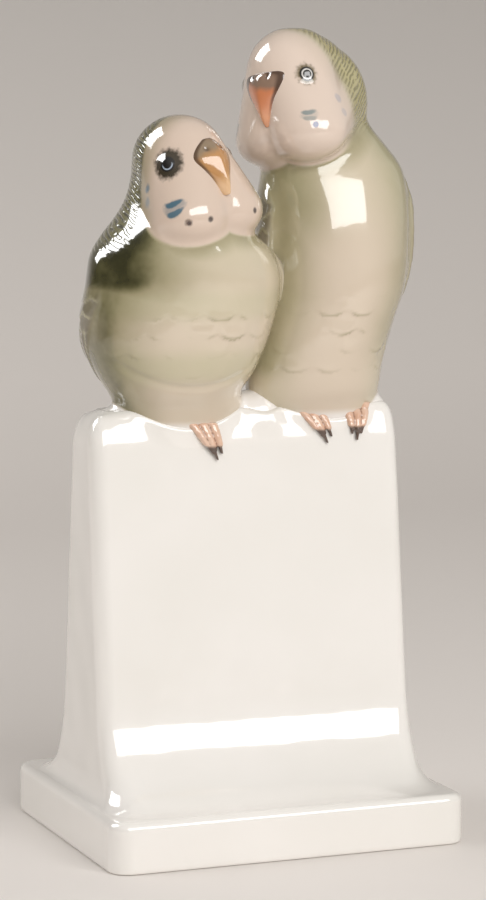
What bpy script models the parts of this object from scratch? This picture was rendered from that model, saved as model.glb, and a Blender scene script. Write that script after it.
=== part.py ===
"""Glazed porcelain figurine: two budgerigars pressed together on top of a tall pedestal.

The real one is slip cast in one piece. It is a hollow shell of even thickness, with a recessed floor
and a small firing hole underneath, and solid tails, beaks and feet. Sizes are in millimetres, turned
into metres by MM. +Z is up, the front of the pedestal faces -Y, and the origin is on the table, below
the middle of the whole piece.
"""

import math
from collections import namedtuple

import bmesh
import bpy
from mathutils import Matrix, Vector

MM = 0.001

# The right bird's flank stands out past the plinth. The whole is moved by this much to the left, so
# that the origin is below its middle.
OVERHANG = 0.61

# Porcelain shell
WALL = 3.4
FLOOR_THICKNESS = 3.6
FOOT_RING_WIDTH = 5.0
FOOT_RECESS = 1.2
FIRING_HOLE_DIAMETER = 3.4

# Plinth, the slab at the foot
PLINTH_WIDTH = 85.0
PLINTH_DEPTH = 72.5
PLINTH_HEIGHT = 11.5
PLINTH_CORNER_RADIUS = 4.8
PLINTH_TOP_ROUND = 1.9
PLINTH_FOOT_ROUND = 0.7

# Shaft, the upright above the plinth, with concave flares where it meets it. Its corners grow
# rounder down the flares.
SHAFT_WIDTH_TOP = 75.2
SHAFT_WIDTH_FOOT = 76.4
SHAFT_DEPTH_TOP = 15.6
SHAFT_DEPTH_FOOT = 32.6
SHAFT_TOP = 97.5
SHAFT_CORNER_RADIUS = 3.6
FLARE_CORNER_RADIUS = 11.0
SHOULDER_DROP = 8.0
SHOULDER_INSET = 3.3
FLARE_HEIGHT = 21.5
SIDE_FLARE_HEIGHT = 5.5

# Head, shared by both birds. Points are from the skull's centre, with the face towards -Y.
SKULL_RADII = (9.9, 11.3, 9.8)
NAPE_RADII = (10.2, 10.2, 13.0)
OCCIPUT_RADII = (9.6, 9.8, 9.6)
CHEEK_AT = (5.2, -4.8, -14.4)
CHEEK_RADII = (9.3, 9.0, 6.9)
EYE_AT = (8.5, -5.9, -1.4)
EYE_RADIUS = 1.9

# Toes, which hook over the front edge of the shaft
TOE_RADIUS = 1.25
TOE_SPACING = 2.4
TOE_LENGTH = 6.0
CLAW_LENGTH = 2.4
TOE_PROUD = 0.8

# Folded wing, from shoulder to tip: part of its length, degrees round from the flank towards the
# back, half width, and how far it stands out of the body
WING_ROWS = (
    (0.00, 34.0, 3.5, -1.8),
    (0.07, 26.0, 7.4, -0.2),
    (0.20, 24.0, 10.6, 0.5),
    (0.40, 30.0, 11.6, 0.6),
    (0.60, 43.0, 10.8, 1.0),
    (0.76, 56.0, 8.8, 1.3),
    (0.90, 68.0, 6.2, 1.5),
    (1.00, 76.0, 3.2, 0.8),
)
WING_THICKNESS = 11.0

# Tail, which hangs down the back of the shaft and is fused to it: part of its length, half width,
# half thickness
TAIL_ROWS = (
    (0.00, 9.5, 4.0),
    (0.15, 9.8, 4.4),
    (0.30, 8.8, 3.8),
    (0.50, 7.4, 3.0),
    (0.70, 6.2, 2.6),
    (0.88, 5.0, 2.4),
    (0.96, 3.8, 2.0),
    (1.00, 2.2, 1.2),
)
TAIL_RISE = 16.0
TAIL_PROUD = 1.0

# Clay pushed up round the birds' seats: centre across and height, half width, half depth, rise
MOUNDS = (
    (4.6, 96.0, 8.0, 6.8, 6.2),
    (33.4, 95.4, 4.4, 5.4, 5.2),
    (-29.4, 95.6, 5.0, 5.0, 3.6),
)

# How finely the soft forms of the birds and their hard details are meshed
CLAY_GRAIN = 1.2
CLAY_SMOOTHING = 10
CLAY_KEEP = 0.16
DETAIL_GRAIN = 0.6
DETAIL_KEEP = 0.12

# A row of a body is height above the perch, half width, reach to the front, reach to the back,
# and how far its middle is moved sideways and backwards. A row of a beak, from the cere down to the
# tip, is forward reach, height, half width and half thickness. A keel of 1 gives the beak a straight
# edge down its middle, and one of 2 a round front.
Bird = namedtuple(
    "Bird",
    "name perch body head_at head_turn head_nod head_lean nape_at beak beak_keel wing_top wing_tip toes "
    "tail_foot",
)

LEFT_BIRD = Bird(
    name="left",
    perch=(-13.6, -1.0),
    body=(
        (-6.0, 11.0, 6.2, 5.0, -0.5, 0.5),
        (1.0, 15.0, 9.6, 9.0, -0.4, 0.0),
        (4.0, 15.2, 12.0, 11.0, -1.7, 0.0),
        (9.0, 18.4, 15.4, 13.6, -1.6, 0.0),
        (14.5, 20.8, 17.4, 15.0, -1.4, 0.0),
        (20.0, 21.8, 18.2, 15.6, -0.5, 0.0),
        (25.5, 22.3, 18.6, 15.8, 0.4, 0.0),
        (31.0, 22.2, 18.9, 15.8, 0.9, 0.0),
        (36.0, 21.0, 19.0, 15.2, 0.2, 0.2),
        (40.0, 18.0, 18.2, 14.2, -0.8, 0.2),
        (44.0, 14.0, 16.0, 12.6, -1.6, 0.0),
        (48.0, 11.2, 11.6, 11.0, -2.2, -0.8),
        (53.0, 9.4, 8.6, 9.6, -2.8, -1.8),
    ),
    head_at=(-15.7, -4.5, 155.0),
    head_turn=20.6,
    head_nod=-12.5,
    head_lean=-7.0,
    nape_at=(0.0, 4.1, -8.0),
    beak=(
        (-9.4, 2.2, 2.4, 2.0),
        (-9.6, 0.8, 4.0, 3.0),
        (-9.9, -1.2, 5.4, 3.8),
        (-10.1, -3.0, 5.7, 4.1),
        (-10.6, -5.4, 4.7, 3.9),
        (-11.4, -7.4, 3.2, 3.2),
        (-12.2, -9.4, 1.9, 2.3),
        (-13.0, -11.2, 0.8, 1.0),
    ),
    beak_keel=1.05,
    wing_top=43.0,
    wing_tip=-1.0,
    toes=((-11.4, 95.4, 3.3),),
    tail_foot=49.0,
)

RIGHT_BIRD = Bird(
    name="right",
    perch=(24.4, 1.0),
    body=(
        (-6.0, 9.0, 6.2, 5.0, -1.4, -1.0),
        (1.4, 15.2, 10.2, 8.4, -5.2, -0.6),
        (4.2, 16.2, 12.0, 10.0, -5.2, -0.4),
        (9.7, 16.6, 13.8, 12.2, -4.8, 0.0),
        (15.3, 16.6, 15.0, 13.4, -3.6, 0.0),
        (20.8, 16.7, 15.7, 14.2, -2.1, 0.0),
        (26.4, 17.0, 16.2, 14.8, -0.4, 0.0),
        (33.0, 17.6, 16.2, 15.2, 0.2, 0.0),
        (40.0, 17.7, 15.8, 15.2, 0.4, 0.0),
        (46.0, 17.6, 15.0, 14.8, 0.5, 0.2),
        (51.0, 17.5, 14.0, 14.2, 0.3, 0.6),
        (55.5, 16.8, 12.6, 13.6, 0.0, 1.0),
        (60.0, 14.8, 11.2, 12.8, -1.4, 1.4),
        (65.0, 12.4, 10.0, 11.6, -3.4, 1.2),
        (72.0, 10.2, 9.0, 10.2, -5.6, 0.6),
    ),
    head_at=(13.6, -0.6, 174.9),
    head_turn=-61.5,
    head_nod=8.0,
    head_lean=-8.3,
    nape_at=(0.0, 9.0, -8.0),
    beak=(
        (-9.2, 0.6, 5.2, 2.6),
        (-9.4, -0.4, 6.0, 3.2),
        (-9.6, -2.2, 6.2, 3.7),
        (-9.9, -4.0, 5.8, 3.8),
        (-10.4, -6.0, 4.5, 3.5),
        (-11.0, -8.0, 3.0, 3.0),
        (-11.6, -10.0, 1.7, 2.2),
        (-12.0, -11.6, 0.8, 1.1),
    ),
    beak_keel=1.4,
    wing_top=58.0,
    wing_tip=0.0,
    toes=((15.2, 98.2, 3.8), (27.2, 98.6, -0.8)),
    tail_foot=43.0,
)


def mesh_object(name, bm, collection):
    """Turns a bmesh built in millimetres from the plinth's centre into an object in metres."""
    bmesh.ops.translate(bm, vec=(-OVERHANG, 0.0, 0.0), verts=bm.verts)
    bmesh.ops.scale(bm, vec=(MM, MM, MM), verts=bm.verts)
    bmesh.ops.recalc_face_normals(bm, faces=bm.faces)
    mesh = bpy.data.meshes.new(name)
    bm.to_mesh(mesh)
    bm.free()
    obj = bpy.data.objects.new(name, mesh)
    collection.objects.link(obj)
    return obj


def helper(obj):
    """Marks a cutter or a joined shape, which isn't a piece of its own."""
    obj.hide_render = True
    obj.display_type = "WIRE"
    return obj


def loft(bm, rings):
    """Skins a closed tube through rings with the same number of points, and caps both ends."""
    loops = [[bm.verts.new(point) for point in ring] for ring in rings]
    for lower, upper in zip(loops, loops[1:]):
        for i in range(len(lower)):
            j = (i + 1) % len(lower)
            bm.faces.new((lower[i], lower[j], upper[j], upper[i]))
    bm.faces.new(loops[0][::-1])
    bm.faces.new(loops[-1])


def rounded_rectangle(half_x, half_y, radius, z, corner_steps=5):
    radius = min(radius, half_x - 0.05, half_y - 0.05)
    points = []
    for corner, (sx, sy) in enumerate(((1, 1), (-1, 1), (-1, -1), (1, -1))):
        for step in range(corner_steps + 1):
            angle = math.radians(90.0 * (corner + step / corner_steps))
            points.append(
                (
                    sx * (half_x - radius) + radius * math.cos(angle),
                    sy * (half_y - radius) + radius * math.sin(angle),
                    z,
                )
            )
    return points


def ellipse(centre, half_width, front, back, count=24):
    points = []
    for i in range(count):
        angle = 2.0 * math.pi * i / count
        reach = back if math.sin(angle) > 0 else front
        points.append(
            (
                centre[0] + half_width * math.cos(angle),
                centre[1] + reach * math.sin(angle),
                centre[2],
            )
        )
    return points


def smooth_rows(rows, steps):
    """Rows between the given ones, on a Catmull-Rom curve through them."""
    made = []
    for i in range(len(rows) - 1):
        before, start, end = rows[max(i - 1, 0)], rows[i], rows[i + 1]
        after = rows[min(i + 2, len(rows) - 1)]
        for step in range(steps):
            t = step / steps
            made.append(
                tuple(
                    0.5
                    * (
                        2 * b
                        + (c - a) * t
                        + (2 * a - 5 * b + 4 * c - d) * t * t
                        + (3 * b - a - 3 * c + d) * t * t * t
                    )
                    for a, b, c, d in zip(before, start, end, after)
                )
            )
    made.append(tuple(rows[-1]))
    return made


def ellipsoid(bm, centre, radii, turn=Matrix.Identity(4), segments=24, rings=16):
    place = turn @ Matrix.Translation(centre) @ Matrix.Diagonal((*radii, 1.0))
    bmesh.ops.create_uvsphere(bm, u_segments=segments, v_segments=rings, radius=1.0, matrix=place)


# Pedestal


def shaft_half_sizes(z):
    """Half width and half depth of the shaft at a height, without its flares."""
    up = (z - PLINTH_HEIGHT) / (SHAFT_TOP - PLINTH_HEIGHT)
    width = SHAFT_WIDTH_FOOT + (SHAFT_WIDTH_TOP - SHAFT_WIDTH_FOOT) * up
    depth = SHAFT_DEPTH_FOOT + (SHAFT_DEPTH_TOP - SHAFT_DEPTH_FOOT) * up
    return width / 2, depth / 2


def flare(z, height, reach):
    """How far a quarter-round flare of that height stands out at a height above the plinth."""
    t = max(0.0, 1.0 - (z - PLINTH_HEIGHT) / height)
    return reach * (1.0 - math.sqrt(max(0.0, 1.0 - t * t)))


def pedestal_section(z):
    """Half width, half depth and corner radius of the pedestal's outside at a height."""
    if z <= PLINTH_HEIGHT:
        foot = max(0.0, PLINTH_FOOT_ROUND - z)
        top = max(0.0, z - (PLINTH_HEIGHT - PLINTH_TOP_ROUND))
        inset = PLINTH_TOP_ROUND - math.sqrt(max(0.0, PLINTH_TOP_ROUND**2 - top**2)) + foot
        return PLINTH_WIDTH / 2 - inset, PLINTH_DEPTH / 2 - inset, PLINTH_CORNER_RADIUS - inset
    half_x, half_y = shaft_half_sizes(z)
    foot_x, foot_y = shaft_half_sizes(PLINTH_HEIGHT)
    reach_x = PLINTH_WIDTH / 2 - PLINTH_TOP_ROUND - foot_x
    reach_y = PLINTH_DEPTH / 2 - PLINTH_TOP_ROUND - foot_y
    half_x += flare(z, SIDE_FLARE_HEIGHT, reach_x)
    half_y += flare(z, FLARE_HEIGHT, reach_y)
    up = max(0.0, (z - (SHAFT_TOP - SHOULDER_DROP)) / SHOULDER_DROP)
    inset = SHOULDER_INSET * (1.0 - math.sqrt(max(0.0, 1.0 - up * up)))
    corner = SHAFT_CORNER_RADIUS + flare(z, FLARE_HEIGHT, FLARE_CORNER_RADIUS - SHAFT_CORNER_RADIUS)
    return half_x - inset, half_y - inset, corner - 0.9 * inset


def pedestal_heights():
    """Heights of the rings, close together where the outline turns."""
    heights = [0.0, PLINTH_FOOT_ROUND]
    for step in range(5):
        angle = math.radians(22.5 * step)
        heights.append(PLINTH_HEIGHT - PLINTH_TOP_ROUND * (1.0 - math.sin(angle)))
    for step in range(1, 11):
        angle = math.radians(9.0 * step)
        heights.append(PLINTH_HEIGHT + FLARE_HEIGHT * (1.0 - math.cos(angle)))
    heights.append(PLINTH_HEIGHT + SIDE_FLARE_HEIGHT)
    shoulder = SHAFT_TOP - SHOULDER_DROP
    foot = PLINTH_HEIGHT + FLARE_HEIGHT
    heights += [foot + (shoulder - foot) * step / 4 for step in range(1, 5)]
    for step in range(1, 7):
        angle = math.radians(15.0 * step)
        heights.append(shoulder + SHOULDER_DROP * math.sin(angle))
    return sorted(heights)


def make_pedestal(collection):
    bm = bmesh.new()
    loft(bm, [rounded_rectangle(*pedestal_section(z), z) for z in pedestal_heights()])
    return mesh_object("parrot_figurine", bm, collection)


def make_pedestal_cavity(collection):
    """The inside of the pedestal: the outside moved down and in by the wall."""
    bm = bmesh.new()
    lowest = FOOT_RECESS + FLOOR_THICKNESS
    heights = [lowest] + [z - WALL for z in pedestal_heights() if z - WALL > lowest + 0.2]
    rings = []
    for z in heights:
        half_x, half_y, corner = pedestal_section(z + WALL)
        rings.append(rounded_rectangle(half_x - WALL, half_y - WALL, max(corner - WALL, 1.0), z, 2))
    loft(bm, rings)
    return helper(mesh_object("pedestal_cavity", bm, collection))


def make_foot_recess(collection):
    bm = bmesh.new()
    rings = []
    for z in (-1.0, FOOT_RECESS):
        rings.append(
            rounded_rectangle(
                PLINTH_WIDTH / 2 - FOOT_RING_WIDTH, PLINTH_DEPTH / 2 - FOOT_RING_WIDTH, 2.0, z, 3
            )
        )
    loft(bm, rings)
    return helper(mesh_object("foot_recess", bm, collection))


def make_firing_hole(collection):
    bm = bmesh.new()
    bmesh.ops.create_cone(
        bm,
        cap_ends=True,
        segments=24,
        radius1=FIRING_HOLE_DIAMETER / 2,
        radius2=FIRING_HOLE_DIAMETER / 2,
        depth=4 * FLOOR_THICKNESS,
    )
    return helper(mesh_object("firing_hole", bm, collection))


# Birds


def body_rings(bird, inset=0.0, steps=2):
    rings = []
    for height, half_width, front, back, aside, behind in smooth_rows(bird.body, steps):
        centre = (bird.perch[0] + aside, bird.perch[1] + behind, SHAFT_TOP + height)
        rings.append(ellipse(centre, half_width - inset, front - inset, back - inset))
    return rings


def head_place(bird):
    """Where the head's own axes lie: turned about the upright, then nodded, then leaned."""
    return (
        Matrix.Translation(bird.head_at)
        @ Matrix.Rotation(math.radians(bird.head_turn), 4, "Z")
        @ Matrix.Rotation(math.radians(bird.head_nod), 4, "X")
        @ Matrix.Rotation(math.radians(bird.head_lean), 4, "Y")
    )


def between(first, second, part):
    """An ellipsoid, as its centre and radii, part of the way from one to another."""
    return [[a + (b - a) * part for a, b in zip(*pair)] for pair in zip(first, second)]


def face_forms(bird):
    """Centres and radii down both sides of the face: from the skull to the cheek, and back to the nape."""
    skull = ((0.0, 0.0, 0.0), SKULL_RADII)
    forms = [skull]
    for side in (-1, 1):
        cheek = ((side * CHEEK_AT[0], CHEEK_AT[1], CHEEK_AT[2]), CHEEK_RADII)
        forms += [between(skull, cheek, part) for part in (0.25, 0.5, 0.75, 1.0)]
        forms += [between(cheek, (bird.nape_at, NAPE_RADII), part) for part in (0.25, 0.5, 0.75)]
    return forms


def add_head(bm, bird):
    place = head_place(bird)
    for centre, radii in face_forms(bird):
        ellipsoid(bm, centre, radii, place)
    ellipsoid(bm, bird.nape_at, NAPE_RADII, place)
    ellipsoid(bm, (0.0, 0.5 * bird.nape_at[1], -1.8), OCCIPUT_RADII, place)
    for side in (-1, 1):
        ellipsoid(bm, (side * EYE_AT[0], EYE_AT[1], EYE_AT[2]), (EYE_RADIUS,) * 3, place, 12, 8)


def add_beak(bm, bird):
    place = head_place(bird)
    rings = []
    for forward, height, half_width, half_thickness in smooth_rows(bird.beak, 2):
        ring = []
        for i in range(24):
            angle = 2.0 * math.pi * (i + 0.5) / 24
            bend = 2.0 / bird.beak_keel if math.sin(angle) < 0 else 1.0
            x = half_width * math.copysign(abs(math.cos(angle)) ** bend, math.cos(angle))
            y = forward + half_thickness * math.copysign(abs(math.sin(angle)) ** bend, math.sin(angle))
            ring.append(place @ Vector((x, y, height)))
        rings.append(ring)
    loft(bm, rings[::-1])


def add_wings(bm, bird):
    """Each folded wing lies on a flank at the shoulder and turns round the back to the tail."""
    rows = smooth_rows(bird.body, 4)
    for side in (-1, 1):
        rings = []
        for along, degrees, half_width, proud in smooth_rows(WING_ROWS, 3):
            height = bird.wing_top + (bird.wing_tip - bird.wing_top) * along
            _, flank, _, back, aside, behind = min(rows, key=lambda row: abs(row[0] - height))
            angle = math.radians(degrees)
            outward = Vector((side * math.cos(angle) / flank, math.sin(angle) / back, 0.0)).normalized()
            centre = Vector(
                (
                    bird.perch[0] + aside + side * flank * math.cos(angle),
                    bird.perch[1] + behind + back * math.sin(angle),
                    SHAFT_TOP + height,
                )
            )
            centre += outward * (proud - WING_THICKNESS / 2)
            across = Vector((-outward.y, outward.x, 0.0))
            ring = ellipse((0.0, 0.0, 0.0), half_width, WING_THICKNESS / 2, WING_THICKNESS / 2, 20)
            rings.append([centre + across * x + outward * y for x, y, z in ring])
        loft(bm, rings[::-1])


def add_tail(bm, bird):
    """Long tail feathers, a flat wedge that runs from the rump down the back of the shaft."""
    top = SHAFT_TOP + TAIL_RISE
    rings = []
    for along, half_width, half_thickness in smooth_rows(TAIL_ROWS, 3):
        z = top + (bird.tail_foot - top) * along
        back = pedestal_section(min(z, SHAFT_TOP - SHOULDER_DROP))[1]
        centre = (bird.perch[0], back + TAIL_PROUD, z)
        rings.append(ellipse(centre, half_width, half_thickness, half_thickness, 20))
    loft(bm, rings[::-1])


def add_toes(bm, bird):
    """Three toes a foot, each a tapered tube that hooks down over the shaft's front edge."""
    for foot_x, foot_top, slant in bird.toes:
        for toe in (-1, 0, 1):
            rings = []
            steps = 8
            length = TOE_LENGTH + CLAW_LENGTH - 1.4 * abs(toe)
            for step in range(steps + 1):
                down = step / steps
                z = foot_top - length * down
                front = -pedestal_section(min(z, SHAFT_TOP - 0.3))[1]
                spread = toe * TOE_SPACING * (1.0 - 0.55 * down)
                radius = TOE_RADIUS * (1.0 - 0.66 * down**2)
                centre = (foot_x + spread + slant * down, front - TOE_PROUD, z)
                rings.append(ellipse(centre, radius, radius, radius + 1.0, 12))
            loft(bm, rings[::-1])


def clay(obj, grain, smoothing, keep):
    """Joins the forms of an object, blends them where they meet, and thins the mesh."""
    remesh = obj.modifiers.new("join", "REMESH")
    remesh.mode = "VOXEL"
    remesh.voxel_size = grain * MM
    blend = obj.modifiers.new("blend", "SMOOTH")
    blend.factor = 0.5
    blend.iterations = smoothing
    thin = obj.modifiers.new("thin", "DECIMATE")
    thin.ratio = keep
    return obj


def make_birds(collection):
    """The soft forms of both birds, and the clay round their seats."""
    bm = bmesh.new()
    for bird in (LEFT_BIRD, RIGHT_BIRD):
        loft(bm, body_rings(bird))
        add_head(bm, bird)
        add_wings(bm, bird)
        add_tail(bm, bird)
    for across, height, half_width, half_depth, rise in MOUNDS:
        ellipsoid(bm, (across, 0.0, height), (half_width, half_depth, rise))
    birds = helper(mesh_object("birds", bm, collection))
    return clay(birds, CLAY_GRAIN, CLAY_SMOOTHING, CLAY_KEEP)


def make_beaks_and_toes(collection):
    bm = bmesh.new()
    for bird in (LEFT_BIRD, RIGHT_BIRD):
        add_beak(bm, bird)
        add_toes(bm, bird)
    details = helper(mesh_object("beaks_and_toes", bm, collection))
    return clay(details, DETAIL_GRAIN, 2, DETAIL_KEEP)


def make_bird_cavity(bird, collection):
    """The inside of a body and its neck, open into the pedestal's cavity."""
    bm = bmesh.new()
    loft(bm, body_rings(bird, WALL, 1))
    return helper(mesh_object(bird.name + "_body_cavity", bm, collection))


def make_head_cavity(bird, collection):
    bm = bmesh.new()
    radii = [radius - WALL for radius in SKULL_RADII]
    ellipsoid(bm, (0.0, 0.0, 0.0), radii, head_place(bird), 14, 10)
    return helper(mesh_object(bird.name + "_head_cavity", bm, collection))


def porcelain():
    material = bpy.data.materials.new("glazed_porcelain")
    material.use_nodes = True
    shader = material.node_tree.nodes["Principled BSDF"]
    shader.inputs["Base Color"].default_value = (0.80, 0.77, 0.72, 1.0)
    shader.inputs["Roughness"].default_value = 0.06
    shader.inputs["Metallic"].default_value = 0.0
    return material


def boolean(target, name, operation, other):
    modifier = target.modifiers.new(name, "BOOLEAN")
    modifier.operation = operation
    modifier.object = other
    modifier.solver = "EXACT"


def build():
    for obj in list(bpy.data.objects):
        bpy.data.objects.remove(obj)
    parts = bpy.data.collections.new("parrot_figurine")
    cutters = bpy.data.collections.new("shapes_and_cutters")
    for collection in (parts, cutters):
        bpy.context.scene.collection.children.link(collection)

    figurine = make_pedestal(parts)
    boolean(figurine, "birds", "UNION", make_birds(cutters))
    boolean(figurine, "beaks and toes", "UNION", make_beaks_and_toes(cutters))
    boolean(figurine, "pedestal cavity", "DIFFERENCE", make_pedestal_cavity(cutters))
    for bird in (LEFT_BIRD, RIGHT_BIRD):
        boolean(figurine, bird.name + " body", "DIFFERENCE", make_bird_cavity(bird, cutters))
        boolean(figurine, bird.name + " head", "DIFFERENCE", make_head_cavity(bird, cutters))
    boolean(figurine, "foot recess", "DIFFERENCE", make_foot_recess(cutters))
    boolean(figurine, "firing hole", "DIFFERENCE", make_firing_hole(cutters))
    figurine.data.materials.append(porcelain())


build()
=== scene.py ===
"""Two budgerigars pressed together on a tall pedestal, in glazed and painted porcelain.

Sizes are in millimetres from the middle of the plinth's foot, and become metres in the meshes. +Z is
up and the front of the pedestal faces -Y.
"""

import math
from collections import namedtuple

import bmesh
import bpy
import numpy as np
from mathutils import Matrix, Vector
from mathutils.bvhtree import BVHTree


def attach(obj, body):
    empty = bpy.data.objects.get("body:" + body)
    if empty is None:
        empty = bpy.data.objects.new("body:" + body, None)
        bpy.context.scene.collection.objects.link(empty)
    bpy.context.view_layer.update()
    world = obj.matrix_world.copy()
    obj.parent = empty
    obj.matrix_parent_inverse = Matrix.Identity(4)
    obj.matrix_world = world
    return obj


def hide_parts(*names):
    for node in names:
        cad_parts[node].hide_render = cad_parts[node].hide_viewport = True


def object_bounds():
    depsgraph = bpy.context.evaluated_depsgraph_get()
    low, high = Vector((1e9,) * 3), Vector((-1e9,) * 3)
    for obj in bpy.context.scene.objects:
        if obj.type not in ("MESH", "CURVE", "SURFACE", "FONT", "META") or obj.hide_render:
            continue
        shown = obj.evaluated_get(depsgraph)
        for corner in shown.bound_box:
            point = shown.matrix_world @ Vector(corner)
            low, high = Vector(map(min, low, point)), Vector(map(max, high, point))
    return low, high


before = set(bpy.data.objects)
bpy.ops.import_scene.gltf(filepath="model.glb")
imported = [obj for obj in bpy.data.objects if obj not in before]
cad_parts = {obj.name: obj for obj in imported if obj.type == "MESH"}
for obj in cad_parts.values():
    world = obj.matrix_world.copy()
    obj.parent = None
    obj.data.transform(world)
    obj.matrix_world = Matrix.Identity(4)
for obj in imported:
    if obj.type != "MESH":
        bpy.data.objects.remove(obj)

cad_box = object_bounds()
MM = 0.001
NODE = "parrot_figurine"

# Camera
# It stands to the left of the front and slightly above the birds' feet, far away with a long lens,
# so that the pedestal's uprights stay almost parallel.

CAMERA_AZIMUTH = -21.48
CAMERA_ELEVATION = 6.36
CAMERA_DISTANCE = 689.25
CAMERA_AIM = (1.135, 0.0, 87.9)
CAMERA_LENS = 119.7
LONG_SIDE_OF_FILM = 36.0


def direction(azimuth, elevation):
    """The way from the object to a thing seen at these degrees round from the front and up."""
    turn, rise = math.radians(azimuth), math.radians(elevation)
    across = math.cos(rise)
    return Vector((math.sin(turn) * across, -math.cos(turn) * across, math.sin(rise)))


def show(name, data):
    """An object of this data, linked to the scene."""
    obj = bpy.data.objects.new(name, data)
    bpy.context.scene.collection.objects.link(obj)
    return obj


camera = show("camera", bpy.data.cameras.new("camera"))
camera.data.sensor_fit = "VERTICAL"
camera.data.sensor_height = LONG_SIDE_OF_FILM
camera.data.lens = CAMERA_LENS
towards_camera = direction(CAMERA_AZIMUTH, CAMERA_ELEVATION)
camera.location = (Vector(CAMERA_AIM) + towards_camera * CAMERA_DISTANCE) * MM
camera.rotation_euler = towards_camera.to_track_quat("Z", "Y").to_euler()
bpy.context.scene.camera = camera

# Pedestal's outline
# One slip casting: a plinth with a rounded edge, and a shaft that tapers upwards and flares into the
# plinth. The birds' tails and toes lie on it, so its outline comes before them.

OVERHANG = 0.61
PLINTH_WIDTH = 85.0
PLINTH_DEPTH = 72.5
PLINTH_HEIGHT = 11.5
PLINTH_CORNER_RADIUS = 4.8
PLINTH_TOP_ROUND = 1.9
PLINTH_FOOT_ROUND = 0.7
SHAFT_WIDTH_TOP = 75.2
SHAFT_WIDTH_FOOT = 76.4
SHAFT_DEPTH_TOP = 15.6
SHAFT_DEPTH_FOOT = 32.6
SHAFT_TOP = 97.5
SHAFT_CORNER_RADIUS = 3.6
FLARE_CORNER_RADIUS = 11.0
SHOULDER_DROP = 8.0
SHOULDER_INSET = 3.3
FLARE_HEIGHT = 21.5
SIDE_FLARE_HEIGHT = 5.5


def quarter_round(part):
    """How far a quarter circle of radius 1 has turned in, at a part of its height."""
    return 1.0 - math.sqrt(max(0.0, 1.0 - min(1.0, max(0.0, part)) ** 2))


def pedestal_section(z):
    """Half width, half depth and corner radius of the pedestal's outside at a height."""
    if z <= PLINTH_HEIGHT:
        top = (z - PLINTH_HEIGHT + PLINTH_TOP_ROUND) / PLINTH_TOP_ROUND
        foot = (PLINTH_FOOT_ROUND - z) / PLINTH_FOOT_ROUND
        inset = PLINTH_TOP_ROUND * quarter_round(top) + PLINTH_FOOT_ROUND * quarter_round(foot)
        return PLINTH_WIDTH / 2 - inset, PLINTH_DEPTH / 2 - inset, PLINTH_CORNER_RADIUS - inset
    up = (z - PLINTH_HEIGHT) / (SHAFT_TOP - PLINTH_HEIGHT)
    half_x = (SHAFT_WIDTH_FOOT + (SHAFT_WIDTH_TOP - SHAFT_WIDTH_FOOT) * up) / 2
    half_y = (SHAFT_DEPTH_FOOT + (SHAFT_DEPTH_TOP - SHAFT_DEPTH_FOOT) * up) / 2
    reach_x = PLINTH_WIDTH / 2 - PLINTH_TOP_ROUND - SHAFT_WIDTH_FOOT / 2
    reach_y = PLINTH_DEPTH / 2 - PLINTH_TOP_ROUND - SHAFT_DEPTH_FOOT / 2
    half_x += reach_x * quarter_round(1.0 - (z - PLINTH_HEIGHT) / SIDE_FLARE_HEIGHT)
    front_flare = quarter_round(1.0 - (z - PLINTH_HEIGHT) / FLARE_HEIGHT)
    half_y += reach_y * front_flare
    corner = SHAFT_CORNER_RADIUS + (FLARE_CORNER_RADIUS - SHAFT_CORNER_RADIUS) * front_flare
    inset = SHOULDER_INSET * quarter_round(1.0 - (SHAFT_TOP - z) / SHOULDER_DROP)
    return half_x - inset, half_y - inset, corner - 0.9 * inset


# Birds, the soft forms
# Modelled as one lump each in the master, pressed together, and cast with the pedestal: an egg of a
# body, a head with two full cheeks, folded wings on the flanks and a long tail down the back.

SKULL_RADII = (9.9, 11.3, 9.8)
NAPE_RADII = (10.2, 10.2, 13.0)
OCCIPUT_RADII = (9.6, 9.8, 9.6)
OCCIPUT_HEIGHT = -1.8
CHEEK_AT = (5.2, -4.8, -14.4)
CHEEK_RADII = (9.3, 9.0, 6.9)
EYE_AT = (8.5, -5.9, -1.4)
EYE_RADIUS = 1.9
CHEEK_STEPS = 12
NAPE_STEPS = 8

# A row of a wing: part of its length from the shoulder, degrees round from the flank to the back, half
# width, and how far it stands out.
WING_ROWS = (
    (0.00, 34.0, 3.5, -1.8),
    (0.07, 26.0, 7.4, -0.2),
    (0.20, 24.0, 10.6, 0.5),
    (0.40, 30.0, 11.6, 0.6),
    (0.60, 43.0, 10.8, 1.0),
    (0.76, 56.0, 8.8, 1.3),
    (0.90, 68.0, 6.2, 1.5),
    (1.00, 76.0, 3.2, 0.8),
)
WING_THICKNESS = 11.0

# A row of a tail: part of its length, half width, half thickness.
TAIL_ROWS = (
    (0.00, 9.5, 4.0),
    (0.15, 9.8, 4.4),
    (0.30, 8.8, 3.8),
    (0.50, 7.4, 3.0),
    (0.70, 6.2, 2.6),
    (0.88, 5.0, 2.4),
    (0.96, 3.8, 2.0),
    (1.00, 2.2, 1.2),
)
TAIL_RISE = 16.0
TAIL_PROUD = 1.0

# A row of a body: height above the perch, half width, reach to the front and to the back, and how far
# its middle is moved sideways and backwards. A row of a beak: how far it is to the front of the head's
# middle, as a negative number, its height, half width and half thickness. A foot of toes: its place
# across, its top, and how far it slants. A mound of clay: its place across, its height and three radii.
Bird = namedtuple(
    "Bird",
    "name perch body head_at head_turn head_nod head_lean nape_at beak beak_keel wing_top wing_tip toes "
    "tail_foot mounds",
)

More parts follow.
